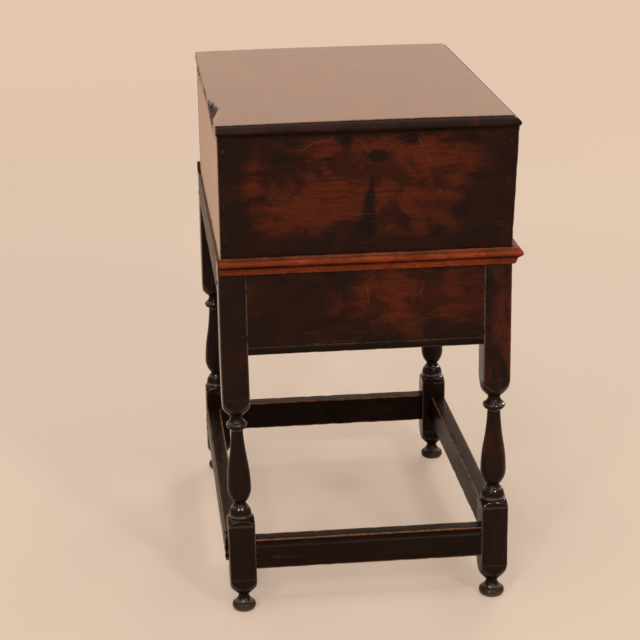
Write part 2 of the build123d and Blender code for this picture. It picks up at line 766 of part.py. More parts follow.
with BuildPart() as corner_nail_group:
    proud_nails(corner_nails, nail_radius, corner_nail_length, head_radius, head_flat, head_height)
corner_nail_group.part.label = "box_corner_nails"
export_step(corner_nail_group.part, "parts/box_corner_nails.step")

with BuildPart() as bottom_nail_group:
    flush_nails(bottom_nails, bottom_nail_length)
bottom_nail_group.part.label = "box_bottom_nails"
export_step(bottom_nail_group.part, "parts/box_bottom_nails.step")


# ---------------------------------------------------------------- lid
def edge_cutter(plane):
    """Waste of the lid's moulded edge, seen end on: a low step over a thumbnail round."""
    step_foot = (-lid_step_foot, lid_top - lid_step)
    shoulder = (-lid_thumb_shoulder[0], lid_top - lid_thumb_shoulder[1])
    tip = (0, lid_top - lid_thumb_tip)
    with BuildSketch(plane) as section:
        with BuildLine():
            Polyline((-lid_edge_width, lid_top + lid_step), (-lid_edge_width, lid_top), step_foot)
            Spline(step_foot, shoulder, tip, (-lid_thumb_under, lid_bottom),
                   tangents=[(1, -0.2), (-1, -0.5)])
            Polyline((-lid_thumb_under, lid_bottom), (-lid_thumb_under, lid_bottom - lid_step),
                     (lid_edge_width, lid_bottom - lid_step), (lid_edge_width, lid_top + lid_step),
                     (-lid_edge_width, lid_top + lid_step))
        make_face()
    return section.sketch


with BuildPart() as lid:
    with Locations((0, lid_back, lid_bottom)):
        Box(2 * lid_end, lid_back - lid_front, lid_thickness, align=(Align.CENTER, Align.MAX, Align.MIN))
    front_edge = Plane(origin=(lid_end, lid_front, 0), x_dir=(0, -1, 0), z_dir=(-1, 0, 0))
    left_edge = Plane(origin=(-lid_end, lid_front, 0), x_dir=(-1, 0, 0), z_dir=(0, 1, 0))
    right_edge = Plane(origin=(lid_end, lid_back, 0), x_dir=(1, 0, 0), z_dir=(0, -1, 0))
    extrude(edge_cutter(front_edge), amount=2 * lid_end, mode=Mode.SUBTRACT)
    extrude(edge_cutter(left_edge), amount=lid_back - lid_front, mode=Mode.SUBTRACT)
    extrude(edge_cutter(right_edge), amount=lid_back - lid_front, mode=Mode.SUBTRACT)
    with BuildSketch(Plane.XY.offset(lid_top)):
        with BuildLine():
            Polyline((chip_deepest - chip_reach_left, lid_back),
                     (chip_deepest - chip_reach_left / 2, lid_back - chip_width / 2),
                     (chip_deepest, lid_back - chip_width),
                     (chip_deepest + chip_reach_right / 2, lid_back - chip_width / 2),
                     (chip_deepest + chip_reach_right, lid_back), close=True)
        make_face()
    extrude(amount=-chip_depth, mode=Mode.SUBTRACT)
    with Locations((-hinge_offset, hinge_y, lid_bottom), (hinge_offset, hinge_y, lid_bottom)):
        Box(leaf_length + 2 * joint_clearance, hinge_y - leaf_back + lid_leaf_width + joint_clearance,
            leaf_thickness, align=(Align.CENTER, Align.MAX, Align.MIN), mode=Mode.SUBTRACT)
    barrel_notches()
    with Locations((staple_place, lock_y, lid_bottom)):
        Box(staple_plate_length + 2 * joint_clearance, staple_width + 2 * joint_clearance,
            staple_plate_thickness, align=OUTWARDS, mode=Mode.SUBTRACT)
    nail_holes(lid_leaf_nails, nail_radius, leaf_nail_length)
    nail_holes(staple_nails, small_nail_radius, small_nail_length)
lid.part.label = "lid"
export_step(lid.part, "parts/lid.step")


# ---------------------------------------------------------------- hinges
def knuckle(middle_x, start, finish):
    """One barrel segment of a hinge, along X."""
    with Locations(Location((middle_x + (start + finish) / 2, hinge_y, hinge_z), (0, 90, 0))):
        Cylinder(knuckle_radius, finish - start)


def leaf(middle_x, low_z, width, web_spans):
    """Flat leaf under the barrel, with a web out to each of its own barrel segments."""
    with Locations((middle_x, leaf_back, low_z)):
        Box(leaf_length, width, leaf_thickness, align=(Align.CENTER, Align.MAX, Align.MIN))
    for start, finish in web_spans:
        with Locations((middle_x + (start + finish) / 2, hinge_y, low_z)):
            Box(finish - start, hinge_y - leaf_back + web_lap, leaf_thickness,
                align=(Align.CENTER, Align.MAX, Align.MIN))
        knuckle(middle_x, start, finish)
    with Locations(Location((middle_x, hinge_y, hinge_z), (0, 90, 0))):
        Cylinder(pin_radius + pin_clearance, leaf_length + 2 * pin_overhang, mode=Mode.SUBTRACT)


segment = leaf_length / 3
outer_start = segment / 2 + knuckle_gap / 2
middle_reach = segment / 2 - knuckle_gap / 2
outer_spans = [(-leaf_length / 2, -outer_start), (outer_start, leaf_length / 2)]
middle_span = [(-middle_reach, middle_reach)]

for side, middle_x in (("left", -hinge_offset), ("right", hinge_offset)):
    with BuildPart() as box_leaf:
        leaf(middle_x, box_top - leaf_thickness, box_leaf_width, outer_spans)
        flush_holes(box_leaf_nails, leaf_nail_length)
    box_leaf.part.label = f"hinge_{side}_box_leaf"
    export_step(box_leaf.part, f"parts/hinge_{side}_box_leaf.step")

    with BuildPart() as lid_leaf:
        leaf(middle_x, lid_bottom, lid_leaf_width, middle_span)
        flush_holes(lid_leaf_nails, leaf_nail_length)
    lid_leaf.part.label = f"hinge_{side}_lid_leaf"
    export_step(lid_leaf.part, f"parts/hinge_{side}_lid_leaf.step")

    with BuildPart() as hinge_pin:
        with Locations(Location((middle_x, hinge_y, hinge_z), (0, 90, 0))):
            Cylinder(pin_radius, leaf_length + 2 * pin_overhang)
    hinge_pin.part.label = f"hinge_{side}_pin"
    export_step(hinge_pin.part, f"parts/hinge_{side}_pin.step")

with BuildPart() as box_leaf_nail_group:
    flush_nails(box_leaf_nails, leaf_nail_length)
box_leaf_nail_group.part.label = "hinge_box_nails"
export_step(box_leaf_nail_group.part, "parts/hinge_box_nails.step")

with BuildPart() as lid_leaf_nail_group:
    flush_nails(lid_leaf_nails, leaf_nail_length)
lid_leaf_nail_group.part.label = "hinge_lid_nails"
export_step(lid_leaf_nail_group.part, "parts/hinge_lid_nails.step")

# ---------------------------------------------------------------- lock
with BuildPart() as lock_case:
    with Locations((0, front_inside, lock_plate_top)):
        Box(lock_plate_length, lock_plate_thickness, lock_plate_height,
            align=(Align.CENTER, Align.MIN, Align.MAX))
        Box(lock_case_length, lock_case_depth, lock_case_height, align=(Align.CENTER, Align.MIN, Align.MAX))
    with Locations((0, front_inside + lock_plate_thickness, lock_plate_top - lock_wall)):
        Box(lock_case_length - 2 * lock_wall, lock_inner_depth, lock_case_height - 2 * lock_wall,
            align=(Align.CENTER, Align.MIN, Align.MAX), mode=Mode.SUBTRACT)
    for place in guide_places:
        with Locations((place, front_inside + lock_plate_thickness, lock_plate_top)):
            Box(guide_thickness, lock_inner_depth, bolt_drop + bolt_section,
                align=(Align.CENTER, Align.MIN, Align.MAX))
        with Locations((place, lock_y, bolt_z)):
            Box(guide_thickness, bolt_section + 2 * bolt_clearance, bolt_section + 2 * bolt_clearance,
                mode=Mode.SUBTRACT)
    with Locations((staple_place, lock_y, lock_plate_top)):
        Box(staple_thickness + 2 * staple_slot_clearance, staple_width + 2 * staple_slot_clearance, lock_wall,
            align=(Align.CENTER, Align.CENTER, Align.MAX), mode=Mode.SUBTRACT)
    keyhole(upright_at(front_inside), lock_plate_thickness)
    nail_holes(lock_nails, small_nail_radius, small_nail_length)
lock_case.part.label = "lock_case"
export_step(lock_case.part, "parts/lock_case.step")

with BuildPart() as lock_bolt:
    with Locations((bolt_start + bolt_length / 2, lock_y, bolt_z)):
        Box(bolt_length, bolt_section, bolt_section)
    with Locations((-bolt_travel / 2, lock_y, bolt_z - bolt_section / 2)):
        Box(bolt_notch, bolt_section, bolt_notch_depth, align=OUTWARDS, mode=Mode.SUBTRACT)
lock_bolt.part.label = "lock_bolt"
export_step(lock_bolt.part, "parts/lock_bolt.step")

with BuildPart() as lock_spring:
    spring_top = lock_plate_top - lock_wall
    spring_tip = bolt_z + bolt_section / 2 + spring_gap
    bend = spring_start + spring_foot
    tip = spring_start + spring_reach
    with BuildSketch(Plane.XZ.offset(-lock_y + spring_width / 2)):
        with BuildLine():
            Polyline((spring_start, spring_top), (bend, spring_top),
                     (tip, spring_tip + spring_thickness), (tip, spring_tip),
                     (bend, spring_top - spring_thickness), (spring_start, spring_top - spring_thickness),
                     close=True)
        make_face()
    extrude(amount=-spring_width)
lock_spring.part.label = "lock_spring"
export_step(lock_spring.part, "parts/lock_spring.step")

with BuildPart() as lid_staple:
    with Locations((staple_place, lock_y, lid_bottom)):
        Box(staple_plate_length, staple_width, staple_plate_thickness, align=OUTWARDS)
        Box(staple_thickness, staple_width, staple_length, align=INWARDS)
    with Locations((staple_place, lock_y, bolt_z)):
        Box(staple_thickness, staple_eye, staple_eye, mode=Mode.SUBTRACT)
    nail_holes(staple_nails, small_nail_radius, small_nail_length)
lid_staple.part.label = "lid_staple"
export_step(lid_staple.part, "parts/lid_staple.step")

with BuildPart() as staple_nail_group:
    with Locations(*staple_nails):
        Cylinder(small_nail_radius, small_nail_length, align=INWARDS)
staple_nail_group.part.label = "staple_nails"
export_step(staple_nail_group.part, "parts/staple_nails.step")

with BuildPart() as lock_nail_group:
    proud_nails(lock_nails, small_nail_radius, small_nail_length,
                small_head_radius, small_head_flat, small_head_height)
lock_nail_group.part.label = "lock_nails"
export_step(lock_nail_group.part, "parts/lock_nails.step")

with BuildPart() as escutcheon:
    with BuildSketch(front_face(0, key_z)):
        Rectangle(escutcheon_width, escutcheon_height)
        with Locations(*[(across * escutcheon_width / 2, up * escutcheon_height / 2)
                         for across in (-1, 1) for up in (-1, 1)]):
            Circle(escutcheon_notch, mode=Mode.SUBTRACT)
    extrude(amount=escutcheon_thickness)
    keyhole(front_face(0, key_z).offset(escutcheon_thickness), escutcheon_thickness)
    nail_holes(escutcheon_nails, small_nail_radius, small_nail_length)
escutcheon.part.label = "escutcheon"
export_step(escutcheon.part, "parts/escutcheon.step")

with BuildPart() as escutcheon_nail_group:
    proud_nails(escutcheon_nails, small_nail_radius, small_nail_length,
                small_head_radius, small_head_flat, small_head_height)
escutcheon_nail_group.part.label = "escutcheon_nails"
export_step(escutcheon_nail_group.part, "parts/escutcheon_nails.step")
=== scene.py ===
"""Oak bible box on a joined and turned stand: its wood, iron and finish, and a plain studio round it."""

import math

import bmesh
import bpy
from bpy.props import (FloatProperty, FloatVectorProperty, IntProperty, PointerProperty)
from bpy.types import Operator, Panel, PropertyGroup
from mathutils import Matrix, Vector, noise


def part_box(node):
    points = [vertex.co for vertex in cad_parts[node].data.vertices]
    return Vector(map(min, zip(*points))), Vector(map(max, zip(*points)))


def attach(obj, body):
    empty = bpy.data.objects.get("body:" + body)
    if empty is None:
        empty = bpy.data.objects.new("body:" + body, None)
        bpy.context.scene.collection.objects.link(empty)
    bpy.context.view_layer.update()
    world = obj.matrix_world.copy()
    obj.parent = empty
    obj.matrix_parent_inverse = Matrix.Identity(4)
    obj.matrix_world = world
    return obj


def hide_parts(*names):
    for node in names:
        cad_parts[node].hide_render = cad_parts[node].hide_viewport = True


bl_info = {
    "name": "Bible Box on Stand",
    "version": (1, 0, 0),
    "blender": (4, 5, 0),
    "location": "View3D > Sidebar > Bible Box",
    "description": "Builds an oak bible box on its turned stand, with worn wax polish and forged iron",
    "category": "Object",
}

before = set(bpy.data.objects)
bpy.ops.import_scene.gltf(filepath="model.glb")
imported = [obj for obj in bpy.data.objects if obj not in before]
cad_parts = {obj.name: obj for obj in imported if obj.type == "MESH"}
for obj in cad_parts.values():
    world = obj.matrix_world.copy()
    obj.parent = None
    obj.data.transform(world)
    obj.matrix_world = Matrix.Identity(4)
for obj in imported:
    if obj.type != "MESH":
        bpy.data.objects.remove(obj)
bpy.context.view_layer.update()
MM = 0.001

# ---------------------------------------------------------------- places taken from the frame
LEGS = ("leg_front_left", "leg_front_right", "leg_back_left", "leg_back_right")
LEG_LOW, LEG_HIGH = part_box("leg_front_left")
HALF_LEG = (LEG_HIGH.x - LEG_LOW.x) / 2
FRAME_TOP = LEG_HIGH.z
STAND_FRONT = LEG_LOW.y
STAND_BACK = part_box("leg_back_left")[1].y
HALF_WIDTH = -LEG_LOW.x
MIDDLE_Y = (STAND_FRONT + STAND_BACK) / 2

# Outward direction of each side of the stand, and the point its pieces are set out from.
OUTWARD = {"left": Vector((-1, 0, 0)), "right": Vector((1, 0, 0)),
           "front": Vector((0, -1, 0)), "back": Vector((0, 1, 0))}
SIDE_ORIGIN = {"left": Vector((-HALF_WIDTH, MIDDLE_Y, 0)), "right": Vector((HALF_WIDTH, MIDDLE_Y, 0)),
               "front": Vector((0, STAND_FRONT, 0)), "back": Vector((0, STAND_BACK, 0))}
SIDE_LENGTH = {"left": STAND_BACK - STAND_FRONT, "right": STAND_BACK - STAND_FRONT,
               "front": 2 * HALF_WIDTH, "back": 2 * HALF_WIDTH}

# ---------------------------------------------------------------- sections, in metres unless marked
SETBACK = 0.6 * MM              # rails and stretchers stand this far behind the legs' faces
APRON_THICK = 22 * MM
HOLLOW_TOP = 13 * MM            # hollow along the bottom edge of an apron
HOLLOW_DEEP = 5 * MM
HOLLOW_STEP = 1 * MM
HOLLOW_MIDDLE = (1.9 * MM, 6.6 * MM)
HOLLOW_FILLET = 3 * MM
STRETCHER_THICK = 25 * MM
FLUTE_DROP = 8.6 * MM           # middle of the flute under the stretcher's top edge
FLUTE_WIDE = 10.4 * MM
FLUTE_DEEP = 2.6 * MM
INTO_LEG = 2.5 * MM             # rails and stretchers run this far into the legs
BOX_FRONT_LEAN = 8.5 * MM       # the box's front leans out this much at its top
RAW_DEPTH = 8.4 * MM            # the box ends are bare wood this far inside their middle

# Moulded edge round the lid, as (distance in from the edge, depth under the crown) in millimetres.
LID_PROFILE = ((11.3, 0.0), (10.2, 2.0), (8.0, 2.7), (6.0, 3.6), (4.4, 4.6), (3.0, 5.8), (1.8, 7.1),
               (0.9, 8.4), (0.3, 9.4), (0.0, 10.0))
LID_EDGE = LID_PROFILE[0][0] * MM
LID_UNDER = 2.4 * MM            # the lid's underside stops this far inside its edge
LID_CROWN = 1.6 * MM            # the lid is this much higher in the middle of its depth
# Places of the lid's mesh lines, in millimetres in from its moulded edges and from its back edge.
LID_INSETS = (0, 0.15, 0.4, 0.9, 1.8, 3.0, 4.4, 6.0, 8.0, 9.4, 10.15, 10.35, 10.8, 11.3, 11.7, 12.6, 14.5, 18)
LID_BACK_INSETS = (0, 0.3, 0.8, 1.5, 3, 5, 7, 9, 11, 13, 15, 17)

# The piece broken out of the lid's back edge: its middle and its reach each way, in millimetres.
BREAK_MIDDLE = -188
BREAK_REACH = (75, 69)
BREAK_WIDE = 14 * MM
BREAK_DEEP = 7 * MM

# Moulding, as (projection, height over its bottom edge, rounding) in millimetres.
MOULDING_OUTLINE = ((0, 26.5, 0.8), (0, 0, 0), (3.5, 0, 0.5), (5.3, 4.8, 1.2), (7.2, 10.9, 0.5),
                    (12.2, 14.5, 1.2), (13.6, 16.2, 0.8), (14.5, 19.0, 1.0), (13.7, 21.4, 0.8),
                    (12.1, 22.8, 0.6), (8.3, 24.3, 0.5), (7.5, 26.5, 0.9))

# Hand turning of each leg: drop of its vase and drop of its collar in millimetres, and its slimness.
LEG_TURNINGS = {
    "leg_front_left": (0.0, 0.0, 1.0),
    "leg_front_right": (2.5, 2.0, 0.98),
    "leg_back_left": (8.0, 12.0, 0.92),
    "leg_back_right": (0.5, 1.0, 0.97),
}
LEG_LEANS = {"leg_back_left": (0, -5.5 * MM, 0)}
LEAN_TOP = 0.43                 # legs lean only below this level
CORNER_RADIUS = 21.5 * math.sqrt(2) + 0.6       # in millimetres, just past the corners of a leg's square

# Outline of a leg from the floor up, as (radius, level) in millimetres. Threes are arcs through three points.
FOOT_PAD = ((14.8, 0.0), (16.5, 0.6))
FOOT_BALL = ((16.5, 0.6), (20.5, 5.5), (16.0, 14.5))
FOOT_FILLET = ((14.2, 15.5), (14.2, 16.8))
FOOT_NECK = ((14.2, 16.8), (10.6, 20.8), (9.2, 26.5))
LOW_TONGUE = ((9.2, 27.5), (18.5, 36.8), (CORNER_RADIUS, 58.0))
POMMEL = ((CORNER_RADIUS, 158.5), (25.6, 164.6), (19.4, 168.4))
BAND = ((18.2, 168.7), (18.2, 170.0), (20.2, 170.6), (20.2, 172.2), (19.2, 172.6))
CUSHION = ((19.2, 172.6), (17.4, 181.0), (14.4, 186.4))
CUSHION_STEP = ((13.1, 186.8), (12.9, 188.0), (10.5, 191.0), (10.5, 193.5))
VASE_FOOT = ((10.5, 193.5), (18.4, 206.5), (20.5, 217.5))
VASE = ((20.5, 217.5), (18.4, 249.0), (13.1, 283.0))
VASE_NECK = (10.4, 319.0)
RING_FILLET = ((12.0, 320.0), (12.0, 321.2))
RING_SWELL = ((12.0, 321.2), (15.9, 322.8), (17.0, 325.0))
RING = ((17.0, 325.0), (18.0, 328.0), (17.0, 330.3))
RING_STEP = ((15.4, 330.5), (15.4, 331.3))
RING_COVE = ((15.4, 331.3), (11.6, 335.0), (9.8, 340.5))
TOP_TONGUE = ((9.8, 342.5), (19.8, 352.5), (CORNER_RADIUS, 374.0))
LEG_TOP = (575.2, 576.0)        # levels of the chamfer round a leg's top
TOP_CHAMFER = 1.2
LEG_SOFTENING = 0.35 * MM       # rounding of every break in a leg's outline

# The keyhole: a round hole with a slot under it.
KEYHOLE_RADIUS = 3.5 * MM
KEYHOLE_SLOT = 5.0 * MM
KEYHOLE_DROP = 12 * MM          # foot of the slot under the middle of the round hole
KEYHOLE_RISE = 0.2 * MM         # middle of the round hole over the middle of the escutcheon

# Where the polish is rubbed red-brown (or is darker, where the strength is below nought).
# On the box ends: (y, z, reach along y, reach along z, strength), and the stains and the lid's painted shadow
# without a strength.
END_WARM = ((0.046, 0.737, 0.045, 0.022, 1.1), (-0.075, 0.708, 0.075, 0.050, 1.1),
            (0.038, 0.665, 0.030, 0.030, 0.8), (0.121, 0.645, 0.055, 0.025, 0.6),
            (0.167, 0.700, 0.020, 0.020, 0.5), (-0.20, 0.67, 0.06, 0.10, -1.4),
            (0.215, 0.68, 0.03, 0.10, -0.6), (0.0, 0.595, 0.30, 0.016, -0.8))
# The three patches at levels 0.764 and 0.777 are a painted shadow of the lid along the box end's top edge.
END_STAINS_AND_LID_SHADOW = ((-0.012, 0.7370, 0.024, 0.0110), (0.036, 0.7640, 0.013, 0.0130),
              (-0.060, 0.7640, 0.020, 0.0110), (0.062, 0.7350, 0.016, 0.0040),
              (0.0, 0.7770, 0.30, 0.0100), (-0.003, 0.6960, 0.0045, 0.0160),
              (-0.001, 0.6800, 0.0070, 0.0160), (0.001, 0.6640, 0.0100, 0.0170),
              (0.003, 0.6480, 0.0140, 0.0180), (0.006, 0.6300, 0.0190, 0.0200))
END_KNOT = (-0.012, 0.7370, 0.016)      # (y, z, radius)
# On the aprons: (y from the side's middle, z, reach along y, reach along z, strength).
APRON_WARM = ((-0.085, 0.512, 0.10, 0.06, 1.15), (0.010, 0.505, 0.07, 0.04, 0.75),
              (0.13, 0.52, 0.06, 0.05, -0.35), (0.06, 0.46, 0.05, 0.03, -0.6))
# On the front legs: (z, reach along z, strength).
LEG_WARM = ((0.47, 0.11, 1.2), (0.26, 0.05, 0.4))
# Small dark marks on the lid: (x, y, reach along x, reach along y).
LID_MARKS = ((0.231, 0.210, 0.006, 0.006), (0.054, 0.152, 0.003, 0.003), (-0.178, 0.011, 0.006, 0.003),
             (-0.184, -0.019, 0.003, 0.003))

# Scratches in the polish of the left side, as lines through (y, z) places in one plane at its faces.
SCRATCHED_X = -0.3215
SCRATCH_WIDE = 0.6 * MM
END_SCRATCHES = (((0.0999, 0.7515), (0.0852, 0.7611), (0.0626, 0.7635), (0.0526, 0.7712)),
                 ((-0.0736, 0.7638), (-0.0776, 0.7502), (-0.0885, 0.7306), (-0.0933, 0.7195)),
                 ((0.2215, 0.6935), (0.2165, 0.6942)),
                 ((-0.1015, 0.6765), (-0.1050, 0.6835), (-0.1085, 0.6770)))
APRON_SCRATCHES = (((0.0056, 0.5349), (0.0042, 0.5110)), ((-0.0760, 0.5290), (-0.0790, 0.5120)))

# ---------------------------------------------------------------- stage, in metres
FLOOR_HALF = 14
FLOOR_GLOW = 0.97               # strength of the floor's glow, as the camera sees it
FLOOR_GLOW_SHARE = (0.45, 1.0)  # share of the glow near the stand and far from it
FLOOR_GLOW_REACH = (1.0, 5.0)   # distances at which the two shares hold
CAMERA_PLACE = (-3.09965, 0.36366, 1.3864)
CAMERA_ANGLES = (-5.8555, 17.8753, -0.8604)     # yaw, pitch and roll in degrees

# Lamps: name, place, point aimed at, size, the setting that gives the power, colour.
LAMPS = (("key_lamp", (-4.3, -1.7, 3.3), (0, 0, 0.45), 0.6, "key", (1.0, 0.96, 0.9)),
         ("fill_lamp", (-4.3, 2.1, 3.1), (0, 0, 0.45), 0.6, "fill", (1.0, 0.97, 0.93)),
         ("back_lamp", (4.0, -2.4, 3.0), (0, 0, 0.5), 1.4, "fill", (1.0, 0.97, 0.94)),
         ("top_lamp", (0.6, 0.0, 4.2), (0.6, 0, 0), 6.0, "top", (1.0, 0.98, 0.96)),
         ("high_lamp", (-2.5, 0.7, 4.0), (0, 0, 0.3), 0.4, "high", (1.0, 0.97, 0.93)))


# ---------------------------------------------------------------- settings
class BibleBoxColours(PropertyGroup):
    """Colours of the polish, the bare wood and the iron."""
    deep: FloatVectorProperty(name="Deep polish", description="Near-black wax in hollows and along the grain",
                              subtype="COLOR", size=3, min=0, max=1, default=(0.0068, 0.0030, 0.0020))
    brown: FloatVectorProperty(name="Brown polish", description="Main colour of the boards",
                               subtype="COLOR", size=3, min=0, max=1, default=(0.0180, 0.0050, 0.0025))
    red: FloatVectorProperty(name="Red-brown polish",
                             description="Rubbed patches where the wood shows through",
                             subtype="COLOR", size=3, min=0, max=1, default=(0.0660, 0.0110, 0.0036))
    worn: FloatVectorProperty(name="Worn edge", description="Edges where the polish is rubbed away",
                              subtype="COLOR", size=3, min=0, max=1, default=(0.21, 0.085, 0.04))
    scratch: FloatVectorProperty(name="Scratch", description="Pale line of a scratch through the polish",
                                 subtype="COLOR", size=3, min=0, max=1, default=(0.125, 0.070, 0.048))
    dry: FloatVectorProperty(name="Dry oak", description="Unpolished wood inside and behind",
                             subtype="COLOR", size=3, min=0, max=1, default=(0.16, 0.084, 0.044))
    moulding: FloatVectorProperty(name="Moulding", description="Bright rubbed colour of the waist moulding",
                                  subtype="COLOR", size=3, min=0, max=1, default=(0.228, 0.038, 0.0100))
    lid: FloatVectorProperty(name="Lid", description="Grey-brown of the lid's dusty wax",
                             subtype="COLOR", size=3, min=0, max=1, default=(0.104, 0.033, 0.0125))
    iron: FloatVectorProperty(name="Iron", description="Forged iron",
                              subtype="COLOR", size=3, min=0, max=1, default=(0.055, 0.048, 0.044))
    rust: FloatVectorProperty(name="Rust", description="Rust in the iron's pits",
                              subtype="COLOR", size=3, min=0, max=1, default=(0.11, 0.038, 0.016))


class BibleBoxHandWork(PropertyGroup):
    """How far the wood departs from true, as hand work and long use leave it."""
    pitch: FloatProperty(name="Mesh pitch", description="Longest side of a board's mesh faces",
                         subtype="DISTANCE", unit="LENGTH", default=4.5 * MM, min=2 * MM, max=0.05)
    arris: FloatProperty(name="Arris", description="Rounding of a sawn board's edges",
                         subtype="DISTANCE", unit="LENGTH", default=1.2 * MM, min=0.1 * MM, max=4 * MM)
    wave: FloatProperty(name="Plane waves", description="Height of the waves a hand plane leaves",
                        subtype="DISTANCE", unit="LENGTH", default=0.22 * MM, min=0, max=2 * MM)
    edge_loss: FloatProperty(name="Edge loss", description="Wood worn and knocked off the edges",
                             subtype="DISTANCE", unit="LENGTH", default=0.7 * MM, min=0, max=3 * MM)


class BibleBoxLegs(PropertyGroup):
    """Turning of the legs."""
    segments: IntProperty(name="Segments", description="Faces round a leg; a multiple of eight",
                          default=96, min=32, max=192)
    level_pitch: FloatProperty(name="Level pitch", description="Longest step between two levels",
                               subtype="DISTANCE", unit="LENGTH", default=2.2 * MM, min=0.5 * MM, max=0.02)
    arris: FloatProperty(name="Arris", description="Softness where turning meets square",
                         subtype="DISTANCE", unit="LENGTH", default=1.3 * MM, min=0.1 * MM, max=5 * MM)
    wobble: FloatProperty(name="Wobble", description="Unevenness of the hand turning",
                          subtype="DISTANCE", unit="LENGTH", default=0.35 * MM, min=0, max=2 * MM)


class BibleBoxFixings(PropertyGroup):
    """Nail heads and pegs."""
    head_radius: FloatProperty(name="Nail head radius", description="Radius of a forged nail's head",
                               subtype="DISTANCE", unit="LENGTH", default=3.3 * MM, min=1 * MM, max=8 * MM)
    head_height: FloatProperty(name="Nail head height", description="Height of a head over the wood",
                               subtype="DISTANCE", unit="LENGTH", default=0.9 * MM, min=0.1 * MM, max=4 * MM)
    peg_radius: FloatProperty(name="Peg radius", description="Radius of an oak peg",
                              subtype="DISTANCE", unit="LENGTH", default=3.5 * MM, min=1 * MM, max=8 * MM)
    peg_proud: FloatProperty(name="Peg proud", description="How far a peg stands out of the leg",
                             subtype="DISTANCE", unit="LENGTH", default=0.7 * MM, min=0, max=3 * MM)


class BibleBoxStage(PropertyGroup):
    """Camera, lamps and floor."""
    lens: FloatProperty(name="Lens", description="Focal length", subtype="DISTANCE_CAMERA", default=108.43)
    floor: FloatVectorProperty(name="Floor", description="Colour of the floor", subtype="COLOR", size=3,
                               min=0, max=1, default=(0.56, 0.45, 0.355))
    wall: FloatVectorProperty(name="Background", description="Colour behind the object", subtype="COLOR",
                              size=3, min=0, max=1, default=(0.80, 0.585, 0.45))
    key: FloatProperty(name="Key lamp", description="Power of the key lamp", subtype="POWER", default=110)
    fill: FloatProperty(name="Fill lamp", description="Power of the fill lamp", subtype="POWER", default=80)
    top: FloatProperty(name="Top lamp", description="Power of the lamp overhead", subtype="POWER",
                       default=140)
    high: FloatProperty(name="High lamp", description="Power of the small high lamp", subtype="POWER",
                        default=40)


class BibleBoxSettings(PropertyGroup):
    """All settings of the object and its stage."""
    colours: PointerProperty(type=BibleBoxColours)
    hand: PointerProperty(type=BibleBoxHandWork)
    legs: PointerProperty(type=BibleBoxLegs)
    fixings: PointerProperty(type=BibleBoxFixings)
    stage: PointerProperty(type=BibleBoxStage)


# ---------------------------------------------------------------- node trees
class Nodes:
    """Short calls for building a node tree."""

    def __init__(self, tree):
        self.tree = tree
        self.at = 0

    def add(self, kind, inputs=None, **settings):
        """A new node with its settings, and its inputs set or linked by name or number."""
        node = self.tree.nodes.new(kind)
        node.location = (self.at % 12 * 200, -(self.at // 12) * 260)
        self.at += 1
        for key, value in settings.items():
            setattr(node, key, value)
        for key, value in (inputs or {}).items():
            socket = node.inputs[key]
            if isinstance(value, bpy.types.NodeSocket):
                self.tree.links.new(value, socket)
            else:
                socket.default_value = value
        return node

    def math(self, operation, first, second=0.0, clamp=False):
        """Result of a sum; each term is a number or a socket."""
        return self.add("ShaderNodeMath", {0: first, 1: second}, operation=operation,
                        use_clamp=clamp).outputs[0]

    def blend(self, *parts):
        """Sum of (value, share) parts."""
        total = self.math("MULTIPLY", *parts[0])
        for part in parts[1:]:
            total = self.math("ADD", total, self.math("MULTIPLY", *part))
        return total

    def vector(self, operation, first, second, result=0):
        """Result of a sum with two vectors, or with a vector and a number where it is scaled."""
        terms = {0: first, "Scale" if operation == "SCALE" else 1: second}
        return self.add("ShaderNodeVectorMath", terms, operation=operation).outputs[result]

    def combined(self, x, y, z):
        """A vector from its three parts."""
        return self.add("ShaderNodeCombineXYZ", {0: x, 1: y, 2: z}).outputs[0]

    def place(self):
        """Place of each point of the geometry."""
        return self.add("GeometryNodeInputPosition").outputs[0]

    def parts_of_place(self):
        """The three parts of each point's place."""
        return self.add("ShaderNodeSeparateXYZ", {0: self.place()}).outputs

    def moved(self, geometry, **where):
        """The geometry with its points set at a Position or moved by an Offset."""
        return self.add("GeometryNodeSetPosition", {"Geometry": geometry, **where}).outputs[0]

    def smooth(self, value, low, high, to_low=0.0, to_high=1.0):
        """Value mapped with soft ends from one range to another."""
        return self.add("ShaderNodeMapRange", {"Value": value, "From Min": low, "From Max": high,
                                               "To Min": to_low, "To Max": to_high},
                        interpolation_type="SMOOTHSTEP").outputs[0]

    def mix(self, factor, first, second):
        """Colour between two colours; each is a colour or a socket."""
        node = self.add("ShaderNodeMix", {"Factor": factor}, data_type="RGBA")
        for name, value in (("A_Color", first), ("B_Color", second)):
            socket = next(s for s in node.inputs if s.identifier == name)
            if isinstance(value, bpy.types.NodeSocket):
                self.tree.links.new(value, socket)
            else:
                socket.default_value = (*value, 1)
        return next(s for s in node.outputs if s.identifier == "Result_Color")

    def noise(self, place, scale, detail=3.0, rough=0.55, warp=0.0):
        """Noise between 0 and 1 at a place."""
        return self.add("ShaderNodeTexNoise", {"Vector": place, "Scale": scale, "Detail": detail,
                                               "Roughness": rough, "Distortion": warp}).outputs["Fac"]

    def stretched(self, place, scale, shift=(0, 0, 0), turn=(0, 0, 0)):
        """A place moved, turned and scaled."""
        return self.add("ShaderNodeMapping", {"Vector": place, "Scale": scale, "Location": shift,
                                              "Rotation": turn}).outputs[0]


def new_material(name):
    """An empty node material: its nodes, its shader and its output."""
    material = bpy.data.materials.new(name)
    material.use_nodes = True
    material.node_tree.nodes.clear()
    nodes = Nodes(material.node_tree)
    output = nodes.add("ShaderNodeOutputMaterial")
    return material, nodes, output


